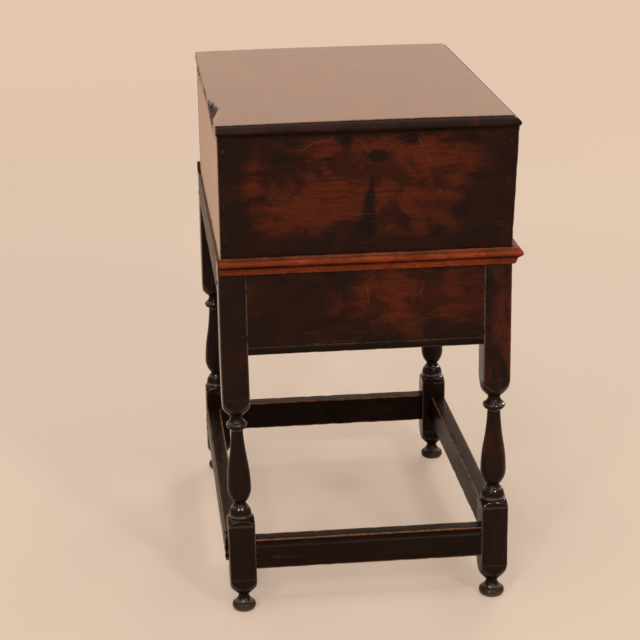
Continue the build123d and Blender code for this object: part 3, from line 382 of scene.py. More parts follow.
def drawn_lines(n, lines, width):
    """Mask of fine lines through given (y, z) places of the left faces, broken here and there."""
    place = n.add("ShaderNodeTexCoord").outputs["Object"]
    nearest = 1.0
    for line in lines:
        corners = [Vector((SCRATCHED_X, y, z)) for y, z in line]
        for start, finish in zip(corners, corners[1:]):
            run = finish - start
            away = n.vector("SUBTRACT", place, start)
            along = n.vector("DOT_PRODUCT", away, run, "Value")
            share = n.math("DIVIDE", along, run.length_squared, clamp=True)
            gap = n.vector("DISTANCE", away, n.vector("SCALE", run, share), "Value")
            nearest = n.math("MINIMUM", gap, nearest)
    broken_up = n.smooth(n.noise(place, 260, 2, 0.5), 0.36, 0.6, 0.25, 1.0)
    return n.math("MULTIPLY", n.smooth(nearest, width, width * 0.2), broken_up)


def oak(name, colours, patch=(0.42, 0.62), gloss=(0.22, 0.36), specular=0.075, wear=1.0, scratches=0.5,
        ground=None, bright=None, dust=0.0, coat=0.0, relief=0.25, figured=0.45, clouded=0.65, turned=0.0,
        strokes=()):
    """Waxed oak. Its grain follows the piece's own grain attribute, and wear (partly a painted highlight on
    the legs' arches), dirt and painted shade, stains (on the box ends also a painted shadow of the lid) and
    raw wood follow its others. Turned wood has fine ridges across its grain and a brighter polish on its
    raised parts. Strokes are scratches at given places."""
    if name in bpy.data.materials:
        return bpy.data.materials[name]
    material, n, output = new_material(name)
    ground = ground or colours.brown
    bright = bright or colours.red
    grain = n.add("ShaderNodeAttribute", attribute_name="grain").outputs["Vector"]
    worn, grime, raw, warm, stain = (n.add("ShaderNodeAttribute", attribute_name=label).outputs["Fac"]
                                     for label in ("edge_wear", "grime", "raw", "warm", "stain"))

    # Growth rings, fibres, pores and the large uneven patches of the polish.
    ringed = n.stretched(grain, (0.10, 1, 1))
    rings = n.add("ShaderNodeTexWave", {"Vector": ringed, "Scale": 120, "Distortion": 16.0, "Detail": 4,
                                        "Detail Scale": 0.6, "Detail Roughness": 0.7},
                  wave_type="RINGS", rings_direction="X").outputs["Fac"]
    fibres = n.noise(n.stretched(grain, (0.035, 1, 1)), 900, 4, 0.65)
    streaks = n.noise(n.stretched(grain, (0.05, 1, 1)), 90, 4, 0.6)
    pores = n.smooth(n.noise(n.stretched(grain, (0.05, 1, 1)), 1500, 1, 0.5), 0.60, 0.70)
    patches = n.noise(n.stretched(grain, (0.45, 1, 1)), 7.5, 5, 0.58, 0.4)
    clouds = n.noise(n.stretched(grain, (0.7, 1, 1), (3, 1, 2)), 26, 4, 0.6, 0.6)
    blotch = n.blend((patches, 0.62), (clouds, 0.22), (streaks, 0.16))
    rubbed = n.smooth(n.math("ADD", blotch, n.math("MULTIPLY", warm, 0.16)), *patch)
    lines_of_grain = n.noise(n.stretched(grain, (0.018, 1, 1), (2, 0, 5)), 330, 3, 0.55)
    figure = n.blend((n.smooth(rings, 0.15, 0.9), 0.22), (fibres, 0.38), (lines_of_grain, 0.40))

    colour = n.mix(rubbed, ground, bright)
    colour = n.mix(n.smooth(figure, 0.62, 0.26, 0.0, figured), colour, colours.deep)
    colour = n.mix(n.math("MULTIPLY", pores, figured), colour, colours.deep)
    colour = n.mix(n.smooth(clouds, 0.58, 0.40, 0.0, clouded), colour, colours.deep)
    # Stains darken the polish to its deep colour; on the box ends some of them are a painted shadow of the
    # lid.
    ragged = n.blend((clouds, 0.5), (streaks, 0.35))
    frayed = n.math("MULTIPLY", n.math("SUBTRACT", ragged, 0.42), 2.2)
    stained = n.smooth(n.math("ADD", stain, frayed), 0.28, 1.15)
    stained = n.math("MULTIPLY", stained, n.smooth(stain, 0.02, 0.25))
    colour = n.mix(n.math("MULTIPLY", stained, 0.95), colour, colours.deep)

    # Edges rubbed pale in places, on the legs' arches partly as a painted highlight; painted shade darkens
    # the hollows and inside corners, and the wood is darker round the nails.
    chipped = n.math("MULTIPLY", n.noise(grain, 150, 5, 0.65), 0.9)
    rub = n.math("MULTIPLY", n.smooth(n.math("ADD", worn, chipped), 1.18, 1.55), wear, clamp=True)
    colour = n.mix(rub, colour, colours.worn)
    colour = n.mix(n.math("MULTIPLY", grime, n.smooth(clouds, 0.2, 0.6, 0.95, 0.6), clamp=True), colour,
                   (0.004, 0.003, 0.0025))

    # Fine scratches in the wax, in two directions and only here and there.
    lines = []
    for turn, shift in (((0.3, 0.2, 0.5), (1, 2, 3)), ((0.9, -0.4, -0.7), (5, 1, 7))):
        drawn = n.noise(n.stretched(grain, (0.03, 1, 1), shift, turn), 420, 1, 0.4)
        lines.append(n.smooth(drawn, 0.705, 0.735))
    scored = n.math("MAXIMUM", lines[0], lines[1])
    here = n.smooth(n.noise(grain, 9, 2, 0.5), 0.5, 0.64)
    scored = n.math("MULTIPLY", n.math("MULTIPLY", scored, here), scratches, clamp=True)
    colour = n.mix(n.math("MULTIPLY", scored, 0.35), colour, colours.worn)
    if strokes:
        struck = drawn_lines(n, strokes, SCRATCH_WIDE)
        colour = n.mix(n.math("MULTIPLY", struck, 0.55), colour, colours.scratch)
        scored = n.math("MAXIMUM", scored, struck)

    # Bare wood inside and behind, with its own grain.
    bare = n.mix(n.smooth(figure, 0.2, 0.75), tuple(c * 0.42 for c in colours.dry), colours.dry)
    bare = n.mix(n.smooth(clouds, 0.62, 0.35, 0, 0.6), bare, tuple(c * 0.3 for c in colours.dry))
    colour = n.mix(raw, colour, bare)

    # Roughness of the polish, then the height that its relief comes from.
    shine = n.smooth(n.blend((clouds, 0.6), (fibres, 0.4)), 0.3, 0.7, *gloss)
    shine = n.math("ADD", shine, n.math("MULTIPLY", scored, 0.2))
    shine = n.math("ADD", shine, n.math("MULTIPLY", grime, 0.22))
    shine = n.math("ADD", shine, n.math("MULTIPLY", raw, 0.42), clamp=True)

    height = n.blend((fibres, 0.35), (figure, 0.35))
    height = n.math("SUBTRACT", height, n.math("MULTIPLY", pores, 0.5))
    height = n.math("SUBTRACT", height, n.math("MULTIPLY", scored, 0.8))
    height = n.math("ADD", height, n.math("MULTIPLY", n.noise(grain, 60, 3, 0.5), 1.2))
    if turned:
        ridges = n.noise(n.stretched(grain, (1, 0.02, 0.02)), 430, 3, 0.6)
        height = n.math("ADD", height, n.math("MULTIPLY", ridges, turned))
        coat = n.smooth(worn, 0.12, 0.6)
    bump = n.add("ShaderNodeBump", {"Strength": relief, "Distance": 0.0004, "Height": height}).outputs[0]

    shader = n.add("ShaderNodeBsdfPrincipled", {"Base Color": colour, "Roughness": shine, "Normal": bump,
                                                "Specular IOR Level": specular, "Coat Weight": coat,
                                                "Coat Roughness": 0.05 if turned else 0.12, "Coat IOR": 1.5,
                                                "Sheen Weight": dust, "Sheen Roughness": 0.45,
                                                "Sheen Tint": (0.9, 0.58, 0.40, 1)})
    n.tree.links.new(shader.outputs[0], output.inputs[0])
    return material


def forged_iron(name, colours, dark=1.0, metallic=0.9, gloss=(0.36, 0.8), specular=0.25):
    """Dark forged iron, rusted in its pits and bright where it is handled."""
    if name in bpy.data.materials:
        return bpy.data.materials[name]
    material, n, output = new_material(name)
    place = n.add("ShaderNodeTexCoord").outputs["Object"]
    hammered = n.add("ShaderNodeTexVoronoi", {"Vector": place, "Scale": 160, "Smoothness": 0.6},
                     feature="SMOOTH_F1").outputs["Distance"]
    pits = n.noise(place, 700, 4, 0.6)
    stain = n.noise(place, 55, 5, 0.62)
    rusty = n.smooth(n.blend((stain, 0.7), (pits, 0.3)), 0.48, 0.62)
    iron, rust = (tuple(c * dark for c in part) for part in (colours.iron, colours.rust))
    colour = n.mix(n.smooth(pits, 0.35, 0.65), tuple(c * 0.45 for c in iron), iron)
    colour = n.mix(n.math("MULTIPLY", rusty, 0.8), colour, rust)
    metal = n.smooth(rusty, 0.1, 0.9, metallic, metallic / 6)
    rough = n.smooth(n.math("ADD", rusty, pits), 0.4, 1.5, *gloss)
    height = n.math("ADD", hammered, n.math("MULTIPLY", pits, 0.35))
    bump = n.add("ShaderNodeBump", {"Strength": 0.5, "Distance": 0.0005, "Height": height}).outputs[0]
    shader = n.add("ShaderNodeBsdfPrincipled", {"Base Color": colour, "Metallic": metal, "Roughness": rough,
                                                "Normal": bump, "Specular IOR Level": specular})
    n.tree.links.new(shader.outputs[0], output.inputs[0])
    return material


def finishes(colours):
    """The object's materials, by the record's slot or by the part of a piece."""
    return {
        "dark_oak": oak("waxed_board_oak", colours, patch=(0.50, 0.68), wear=0.8),
        "low_oak": oak("waxed_stretcher_oak", colours, patch=(0.58, 0.78), wear=0.75, specular=0.06,
                       ground=(0.0112, 0.0040, 0.0024)),
        "end_oak": oak("waxed_end_oak", colours, patch=(0.44, 0.62), wear=0.35, scratches=0.3,
                       strokes=END_SCRATCHES),
        "apron_oak": oak("waxed_apron_oak", colours, patch=(0.48, 0.68), wear=0.8, strokes=APRON_SCRATCHES),
        "turned_oak": oak("waxed_turned_oak", colours, patch=(0.57, 0.76), gloss=(0.09, 0.20), wear=0.8,
                          specular=0.09, scratches=0.25, relief=0.3, figured=0.35, turned=1.6,
                          ground=(0.0125, 0.0042, 0.0025)),
        "moulding_oak": oak("rubbed_moulding_oak", colours, patch=(0.36, 0.52), gloss=(0.2, 0.36), wear=0.85,
                            ground=(0.080, 0.015, 0.0048), bright=colours.moulding, scratches=0.2,
                            specular=0.03, clouded=0.35, figured=0.38),
        "lid_oak": oak("dusty_lid_oak", colours, patch=(0.32, 0.68), gloss=(0.20, 0.27), specular=0.8,
                       wear=0.3, ground=(0.070, 0.021, 0.0085), bright=colours.lid, scratches=0.5, dust=0.18,
                       coat=0.25, relief=0.03, figured=0.25, clouded=0.25),
        "lid_edge": oak("polished_edge_oak", colours, patch=(0.56, 0.74), gloss=(0.18, 0.30), specular=0.06,
                        wear=0.7, scratches=0.2, relief=0.15),
        "iron": forged_iron("bare_lock_iron", colours),
        "waxed_iron": forged_iron("waxed_nail_iron", colours, dark=0.22, metallic=0.1, gloss=(0.25, 0.5),
                                  specular=0.1),
        "plain_oak": oak("dry_back_oak", colours, patch=(0.40, 0.70), gloss=(0.45, 0.62), specular=0.35,
                         ground=(0.075, 0.040, 0.024), bright=(0.150, 0.086, 0.052), wear=0.5,
                         scratches=0.2, relief=0.12, clouded=0.35, dust=0.48),
        "back_rail_oak": oak("dull_rail_oak", colours, patch=(0.45, 0.72), gloss=(0.35, 0.5), specular=0.10,
                             ground=(0.020, 0.0095, 0.0060), bright=(0.055, 0.021, 0.011), wear=0.9,
                             scratches=0.3, relief=0.2, dust=0.05),
    }


# ---------------------------------------------------------------- outlines
def arc(first, middle, last, steps):
    """Points of the arc through three points, without the first."""
    (ax, ay), (bx, by), (cx, cy) = first, middle, last
    d = 2 * (ax * (by - cy) + bx * (cy - ay) + cx * (ay - by))
    a2, b2, c2 = ax * ax + ay * ay, bx * bx + by * by, cx * cx + cy * cy
    ox = (a2 * (by - cy) + b2 * (cy - ay) + c2 * (ay - by)) / d
    oy = (a2 * (cx - bx) + b2 * (ax - cx) + c2 * (bx - ax)) / d
    start = math.atan2(ay - oy, ax - ox)
    turn_middle = (math.atan2(by - oy, bx - ox) - start) % math.tau
    turn = (math.atan2(cy - oy, cx - ox) - start) % math.tau
    if turn_middle > turn:
        turn -= math.tau
    radius = math.hypot(ax - ox, ay - oy)
    angles = [start + turn * k / steps for k in range(1, steps + 1)]
    return [(ox + radius * math.cos(angle), oy + radius * math.sin(angle)) for angle in angles]


def flowing(points, pitch):
    """Points of a smooth line through (radius, level) points, upright at both ends, without the first."""
    slopes = [0.0]
    for before, here, after in zip(points, points[1:], points[2:]):
        slopes.append((after[0] - before[0]) / (after[1] - before[1]))
    slopes.append(0.0)
    line = []
    for index, (here, after) in enumerate(zip(points, points[1:])):
        span = after[1] - here[1]
        steps = max(2, round(span / pitch))
        for k in range(1, steps + 1):
            t = k / steps
            a, b = 2 * t ** 3 - 3 * t ** 2 + 1, t ** 3 - 2 * t ** 2 + t
            c, d = 3 * t ** 2 - 2 * t ** 3, t ** 3 - t ** 2
            radius = a * here[0] + b * span * slopes[index] + c * after[0] + d * span * slopes[index + 1]
            line.append((radius, here[1] + span * t))
    return line


def rounded(corners, pitch, closed=True):
    """An outline from (across, up, rounding) corners, as (across, up, wear, painted shade) points.

    Outside corners are marked worn, and inside ones get painted shade, fading over a few millimetres."""
    count = len(corners)
    area = sum(corners[k][0] * corners[(k + 1) % count][1] - corners[(k + 1) % count][0] * corners[k][1]
               for k in range(count))
    points, marks = [], []
    for k, (across, up, radius) in enumerate(corners):
        here = Vector((across, up))
        if not closed and k in (0, count - 1):
            points.append(here)
            marks.append((0, 0))
            continue
        back = Vector(corners[k - 1][:2]) - here
        on = Vector(corners[(k + 1) % count][:2]) - here
        turn = (-back).cross(on) * (1 if area > 0 else -1)
        sharp = 1 - abs(back.normalized().dot(on.normalized()) + 1) / 2 if radius else 1
        strength = min(1.0, (back.normalized() + on.normalized()).length / 1.2)
        mark = (strength, 0) if turn > 0 else (0, strength)
        if radius == 0 or sharp < 1e-6:
            points.append(here)
            marks.append(mark if radius else (0, 0))
            continue
        reach = min(radius, back.length * 0.45, on.length * 0.45)
        start, finish = here + back.normalized() * reach, here + on.normalized() * reach
        for step in range(5):
            t = step / 4
            points.append(start * (1 - t) ** 2 + here * 2 * t * (1 - t) + finish * t * t)
            marks.append(mark)
    outline, weights = [], []
    last = len(points) if closed else len(points) - 1
    for k in range(last):
        here, on = points[k], points[(k + 1) % len(points)]
        steps = max(1, math.ceil((on - here).length / pitch))
        for step in range(steps):
            outline.append(here.lerp(on, step / steps))
            weights.append(marks[k] if step == 0 else (0, 0))
    if not closed:
        outline.append(points[-1])
        weights.append((0, 0))
    marked = [(p, w) for p, w in zip(outline, weights) if w != (0, 0)]
    result = []
    for point in outline:
        wear = grime = 0.0
        for other, (w, g) in marked:
            fade = math.exp(-((point - other).length / (2.6 * MM)) ** 2)
            wear, grime = max(wear, w * fade), max(grime, g * fade)
        result.append((point.x, point.y, wear, grime))
    return result


# ---------------------------------------------------------------- meshes
def link(name, data):
    """A new object in the scene, at the origin."""
    piece = bpy.data.objects.new(name, data)
    bpy.context.scene.collection.objects.link(piece)
    return piece


def set_floats(mesh, name, values):
    """Store one number for each vertex."""
    attribute = mesh.attributes.get(name) or mesh.attributes.new(name, "FLOAT", "POINT")
    attribute.data.foreach_set("value", values)


def get_floats(mesh, name):
    """One number for each vertex, noughts where there is no such attribute."""
    values = [0.0] * len(mesh.vertices)
    if name in mesh.attributes:
        mesh.attributes[name].data.foreach_get("value", values)
    return values


def tidy_mesh(mesh):
    """Merge doubles, turn the faces outwards and smooth them."""
    work = bmesh.new()
    work.from_mesh(mesh)
    bmesh.ops.remove_doubles(work, verts=work.verts, dist=0.00001)
    bmesh.ops.recalc_face_normals(work, faces=work.faces)
    work.to_mesh(mesh)
    work.free()
    mesh.polygons.foreach_set("use_smooth", [True] * len(mesh.polygons))
    mesh.update()


def plain_mesh(carrier, name):
    """The evaluated result of a piece's modifiers as a plain mesh of a new object."""
    graph = bpy.context.evaluated_depsgraph_get()
    mesh = bpy.data.meshes.new_from_object(carrier.evaluated_get(graph), preserve_all_data_layers=True,
                                           depsgraph=graph)
    mesh.name = name
    bpy.data.objects.remove(carrier)
    return mesh


def grain_along(mesh, along, pith, seed):
    """Set the grain attribute: along the wood, and across it from a pith line outside the board."""
    along = Vector(along)
    across = along.orthogonal().normalized()
    other = along.cross(across)
    shift = Vector((seed * 1.37, (seed * 0.61) % 1 * 0.02, (seed * 0.37) % 1 * 0.02))
    values = []
    for vertex in mesh.vertices:
        place = vertex.co - Vector(pith)
        values.extend((place.dot(along) + shift.x, place.dot(across) + shift.y, place.dot(other) + shift.z))
    attribute = mesh.attributes.get("grain") or mesh.attributes.new("grain", "FLOAT_VECTOR", "POINT")
    attribute.data.foreach_set("vector", values)


def age(mesh, hand, seed, wave=1.0, loss=1.0, nicks=()):
    """Move the surface as hand planing, wear and knocks do. A nick is (place, radius, depth)."""
    wear = get_floats(mesh, "edge_wear")
    grime = get_floats(mesh, "grime")
    shift = Vector((seed * 3.7, seed * 1.9, seed * 5.3))
    normals = [vertex.normal.copy() for vertex in mesh.vertices]
    for vertex, normal in zip(mesh.vertices, normals):
        place = vertex.co
        move = noise.noise(place / 0.13 + shift) + 0.35 * noise.noise(place / 0.035 + shift)
        move *= hand.wave * wave
        worn = wear[vertex.index]
        if worn > 0.05:
            knocks = max(0.0, noise.noise(place / 0.016 + shift) - 0.05)
            move -= worn * hand.edge_loss * loss * (0.25 + 2.2 * knocks)
        for spot, radius, depth in nicks:
            away = (place - Vector(spot)).length / radius
            if away < 1:
                bite = (1 - away * away) ** 2
                move -= depth * bite
                wear[vertex.index] = max(wear[vertex.index], min(1.0, 1.6 * bite))
        vertex.co = place + normal * move
    set_floats(mesh, "edge_wear", wear)
    set_floats(mesh, "grime", grime)
    mesh.update()


def lines_between(low, high, arris, pitch):
    """Places of the mesh lines across one direction of a board, closer together at its edges."""
    length = high - low
    near = [0, 0.3 * arris, 0.65 * arris, arris, 2 * arris, 3.5 * arris]
    near = [d for d in near if d < length * 0.4]
    inner = length - 2 * near[-1]
    steps = max(1, math.ceil(inner / pitch))
    middle = [low + near[-1] + inner * k / steps for k in range(1, steps)]
    return [low + d for d in near] + middle + [high - d for d in reversed(near)]


def board(name, low, high, arris, pitch):
    """A board with rounded edges between two corners, its mesh fine enough to be aged."""
    lines = [lines_between(low[a], high[a], arris, pitch) for a in range(3)]
    last = [len(line) - 1 for line in lines]
    index, places, wear = {}, [], []

    def vertex(key):
        """Number of the vertex at one crossing of the lines."""
        if key not in index:
            place = [lines[a][key[a]] for a in range(3)]
            inner = [min(max(place[a], low[a] + arris), high[a] - arris) for a in range(3)]
            away = Vector(place) - Vector(inner)
            if away.length > 1e-9:
                place = Vector(inner) + away.normalized() * arris
            gaps = sorted(min(lines[a][key[a]] - low[a], high[a] - lines[a][key[a]]) for a in range(3))
            index[key] = len(places)
            places.append(tuple(place))
            wear.append(math.exp(-(gaps[1] / (3.0 * MM)) ** 2))
        return index[key]

    faces = []
    for axis in range(3):
        first, second = [a for a in range(3) if a != axis]
        for end in (0, last[axis]):
            for i in range(last[first]):
                for j in range(last[second]):
                    corners = []
                    for step_i, step_j in ((0, 0), (1, 0), (1, 1), (0, 1)):
                        key = [0, 0, 0]
                        key[axis], key[first], key[second] = end, i + step_i, j + step_j
                        corners.append(vertex(tuple(key)))
                    faces.append(corners)
    mesh = bpy.data.meshes.new(name)
    mesh.from_pydata(places, [], faces)
    set_floats(mesh, "edge_wear", wear)
    tidy_mesh(mesh)
    return mesh


def near_nails(mesh, node_names, radius):
    """Darken the wood round the nails of some nodes."""
    grime = get_floats(mesh, "grime")
    ends = [end for node in node_names for end, facing in fixing_places(node)]
    for vertex in mesh.vertices:
        for end in ends:
            away = (vertex.co - end).length
            if away < 3 * radius:
                grime[vertex.index] = max(grime[vertex.index], math.exp(-(away / radius) ** 2))
    set_floats(mesh, "grime", grime)


def closeness(place, middle, reach):
    """1 in the middle of a soft patch, falling to nought past its reach in each direction."""
    return math.exp(-sum(((place[a] - middle[a]) / reach[a]) ** 2 for a in range(3)))


def warm_patches(mesh, patches):
    """Mark where the polish is rubbed to red-brown. A patch is (middle, reach each way, strength)."""
    set_floats(mesh, "warm", [sum(strength * closeness(vertex.co, middle, reach)
                                  for middle, reach, strength in patches) for vertex in mesh.vertices])


def dark_places(mesh, stains):
    """Mark dark patches: stains, and on the box ends a painted shadow of the lid. A stain is (middle, reach
    each way).
    """
    set_floats(mesh, "stain", [max(1.3 * closeness(vertex.co, *stain) for stain in stains)
                               for vertex in mesh.vertices])


def flow_round(mesh, knots):
    """Bend the grain round knots. A knot is (place, radius)."""
    attribute = mesh.attributes["grain"]
    for vertex, item in zip(mesh.vertices, attribute.data):
        grain = item.vector.copy()
        for place, radius in knots:
            away = vertex.co - Vector(place)
            side = 1 if away.z >= 0 else -1
            grain.z -= side * radius * 0.8 * math.exp(-(away.length / (1.8 * radius)) ** 2)
        item.vector = grain


def finish_piece(mesh, node, material, body):
    """Make the finished piece that stands for a node: its object, finish, body and slot."""
    mesh.materials.clear()
    mesh.materials.append(material)
    piece = link(node + "_wood", mesh)
    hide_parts(node)
    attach(piece, body)
    return piece


# ---------------------------------------------------------------- geometry node trees
def new_tree(name, sockets):
    """A geometry node tree with named inputs: its nodes, its group input and the inputs' identifiers."""
    tree = bpy.data.node_groups.new(name, "GeometryNodeTree")
    tree.interface.new_socket("Geometry", in_out="INPUT", socket_type="NodeSocketGeometry")
    tree.interface.new_socket("Geometry", in_out="OUTPUT", socket_type="NodeSocketGeometry")
    identifiers = {}
    for label, kind, default in sockets:
        socket = tree.interface.new_socket(label, in_out="INPUT", socket_type=kind)
        if default is not None:
            socket.default_value = default
        identifiers[label] = socket.identifier
    nodes = Nodes(tree)
    inputs = nodes.add("NodeGroupInput").outputs
    return tree, nodes, inputs, identifiers


def end_tree(nodes, geometry, inputs):
    """Realize the instances, give them their material and end the tree."""
    real = nodes.add("GeometryNodeRealizeInstances", {"Geometry": geometry}).outputs[0]
    soft = nodes.add("GeometryNodeSetShadeSmooth", {"Geometry": real}).outputs[0]
    made = nodes.add("GeometryNodeSetMaterial", {"Geometry": soft, "Material": inputs["Material"]}).outputs[0]
    nodes.add("NodeGroupOutput", {"Geometry": made})


def run_tree(carrier, tree, identifiers, values):
    """Put a tree on an object and set its inputs."""
    modifier = carrier.modifiers.new(tree.name, "NODES")
    modifier.node_group = tree
    for label, value in values.items():
        modifier[identifiers[label]] = value
    carrier.update_tag()


def named(nodes, name):
    """A float attribute of the geometry."""
    return nodes.add("GeometryNodeInputNamedAttribute", {"Name": name},
                     data_type="FLOAT").outputs["Attribute"]


def stored(nodes, geometry, name, value):
    """The geometry with a float stored on its points."""
    return nodes.add("GeometryNodeStoreNamedAttribute", {"Geometry": geometry, "Name": name, "Value": value},
                     data_type="FLOAT", domain="POINT").outputs[0]


def soft_least(nodes, value, limit, softness):
    """The lesser of two lengths, rounded where they meet."""
    gap = nodes.math("SUBTRACT", value, limit)
    root = nodes.math("SQRT", nodes.math("ADD", nodes.math("MULTIPLY", gap, gap),
                                         nodes.math("MULTIPLY", softness, softness)))
    both = nodes.math("SUBTRACT", nodes.math("ADD", value, limit), root)
    return nodes.math("MULTIPLY", both, 0.5)


def turning_tree():
    """A leg: an outline of levels turned round its axis, then cut to the square it was turned from."""
    tree, n, inputs, identifiers = new_tree("turned_leg", (
        ("Half Section", "NodeSocketFloat", 0.0215), ("Arris", "NodeSocketFloat", 0.001),
        ("Segments", "NodeSocketInt", 96), ("Wobble", "NodeSocketFloat", 0.0003),
        ("Seed", "NodeSocketInt", 1), ("Centre", "NodeSocketVector", None),
        ("Lean", "NodeSocketVector", None), ("Lean Top", "NodeSocketFloat", 0.43),
        ("Material", "NodeSocketMaterial", None)))
    axis = n.add("GeometryNodeMeshToCurve", {"Mesh": inputs["Geometry"]}).outputs[0]
    circle = n.add("GeometryNodeCurvePrimitiveCircle", {"Resolution": inputs["Segments"], "Radius": 1.0},
                   mode="RADIUS").outputs[0]
    at = n.parts_of_place()
    circle = stored(n, circle, "round_x", at[0])
    circle = stored(n, circle, "round_y", at[1])
    body = n.add("GeometryNodeCurveToMesh", {"Curve": axis, "Profile Curve": circle,
                                             "Fill Caps": True}).outputs[0]
    radius, level = named(n, "radius_here"), named(n, "level")
    squared, meeting = [], []
    for name in ("round_x", "round_y"):
        value = n.math("MULTIPLY", named(n, name), radius)
        gap = n.math("ABSOLUTE", n.math("SUBTRACT", n.math("ABSOLUTE", value), inputs["Half Section"]))
        meeting.append(n.smooth(gap, 1.1 * MM, 0.3 * MM))
        size = soft_least(n, n.math("ABSOLUTE", value), inputs["Half Section"], inputs["Arris"])
        squared.append(n.math("MULTIPLY", n.math("SIGN", value), n.math("MAXIMUM", size, 0.0)))
    body = n.moved(body, Position=n.combined(*squared, level))

    # Worn on the square's corners and on the turned ridges, and paler where the turning meets the square:
    # there partly wear and partly a painted highlight on the arch.
    smaller = n.math("MINIMUM", n.math("ABSOLUTE", squared[0]), n.math("ABSOLUTE", squared[1]))
    corner = n.smooth(n.math("DIVIDE", smaller, inputs["Half Section"]), 0.86, 0.985)
    wider = n.smooth(n.math("SUBTRACT", radius, inputs["Half Section"]), 0.0, 1.0 * MM, 0.0, 0.75)
    arch_wear_and_highlight = n.math("MULTIPLY", n.math("MAXIMUM", *meeting), wider)
    body = stored(n, body, "edge_wear", n.math("MAXIMUM", n.math("MAXIMUM", corner, arch_wear_and_highlight), named(n, "ridge")))

    # Uneven turning: a slow wander of the surface and small flats.
    spot = n.vector("ADD", n.place(), n.combined(inputs["Seed"], 0.5, 3.0))
    slow = n.math("SUBTRACT", n.noise(spot, 28, 2, 0.5), 0.5)
    fine = n.math("SUBTRACT", n.noise(spot, 150, 2, 0.5), 0.5)
    move = n.math("MULTIPLY", n.math("ADD", slow, n.math("MULTIPLY", fine, 0.3)), inputs["Wobble"])
    chips = n.math("MULTIPLY", n.smooth(n.noise(spot, 75, 3, 0.6), 0.54, 0.72, 0.0, -0.0018),
                   named(n, "edge_wear"))
    normal = n.add("GeometryNodeInputNormal").outputs[0]
    body = n.moved(body, Offset=n.vector("SCALE", normal, n.math("ADD", move, chips)))

    # Set at its centre, leaning a little below the rails.
    fall = n.math("MAXIMUM", n.math("SUBTRACT", inputs["Lean Top"], level), 0.0)
    fall = n.math("DIVIDE", fall, inputs["Lean Top"])
    lean = n.vector("SCALE", inputs["Lean"], fall)
    body = n.moved(body, Offset=n.vector("ADD", inputs["Centre"], lean))
    end_tree(n, body, inputs)
    return tree, identifiers


def run_of_section_tree():
    """A straight length of one section, such as a rail or a moulding, with its ends square or mitred."""
    tree, n, inputs, identifiers = new_tree("length_of_section", (
        ("Length", "NodeSocketFloat", 0.4), ("Pitch", "NodeSocketFloat", 0.005),
        ("Mitre Start", "NodeSocketFloat", 0.0), ("Mitre End", "NodeSocketFloat", 0.0),
        ("Bend", "NodeSocketFloat", 0.0003), ("Seed", "NodeSocketInt", 1),
        ("Material", "NodeSocketMaterial", None)))
    section = n.add("GeometryNodeMeshToCurve", {"Mesh": inputs["Geometry"]}).outputs[0]
    end = n.add("ShaderNodeCombineXYZ", {0: 1.0}).outputs[0]
    path = n.add("GeometryNodeCurvePrimitiveLine", {"Start": (0, 0, 0), "End": end}).outputs[0]
    count = n.math("ADD", n.math("CEIL", n.math("DIVIDE", inputs["Length"], inputs["Pitch"])), 2)
    path = n.add("GeometryNodeResampleCurve", {"Curve": path, "Count": count}, mode="COUNT").outputs[0]
    at = n.parts_of_place()
    path = stored(n, path, "factor", at[0])
    body = n.add("GeometryNodeCurveToMesh", {"Curve": path, "Profile Curve": section,
                                             "Fill Caps": True}).outputs[0]
    out, up, factor = named(n, "across"), named(n, "up"), named(n, "factor")
    first = n.math("SUBTRACT", n.math("MULTIPLY", inputs["Length"], -0.5),
                   n.math("MULTIPLY", out, inputs["Mitre Start"]))
    last = n.math("ADD", n.math("MULTIPLY", inputs["Length"], 0.5),
                  n.math("MULTIPLY", out, inputs["Mitre End"]))
    along = n.math("ADD", first, n.math("MULTIPLY", n.math("SUBTRACT", last, first), factor))
    shift = n.combined(along, inputs["Seed"], 7.0)
    sway = n.math("MULTIPLY", n.math("SUBTRACT", n.noise(shift, 4.0, 1, 0.4), 0.5), inputs["Bend"])
    lift = n.vector("ADD", shift, (0.0, 9.0, 0.0))
    lift = n.math("MULTIPLY", n.math("SUBTRACT", n.noise(lift, 5.0, 1, 0.4), 0.5), inputs["Bend"])
    place = n.combined(along, n.math("ADD", out, sway), n.math("ADD", up, lift))
    body = n.moved(body, Position=place)
    end_tree(n, body, inputs)
    return tree, identifiers


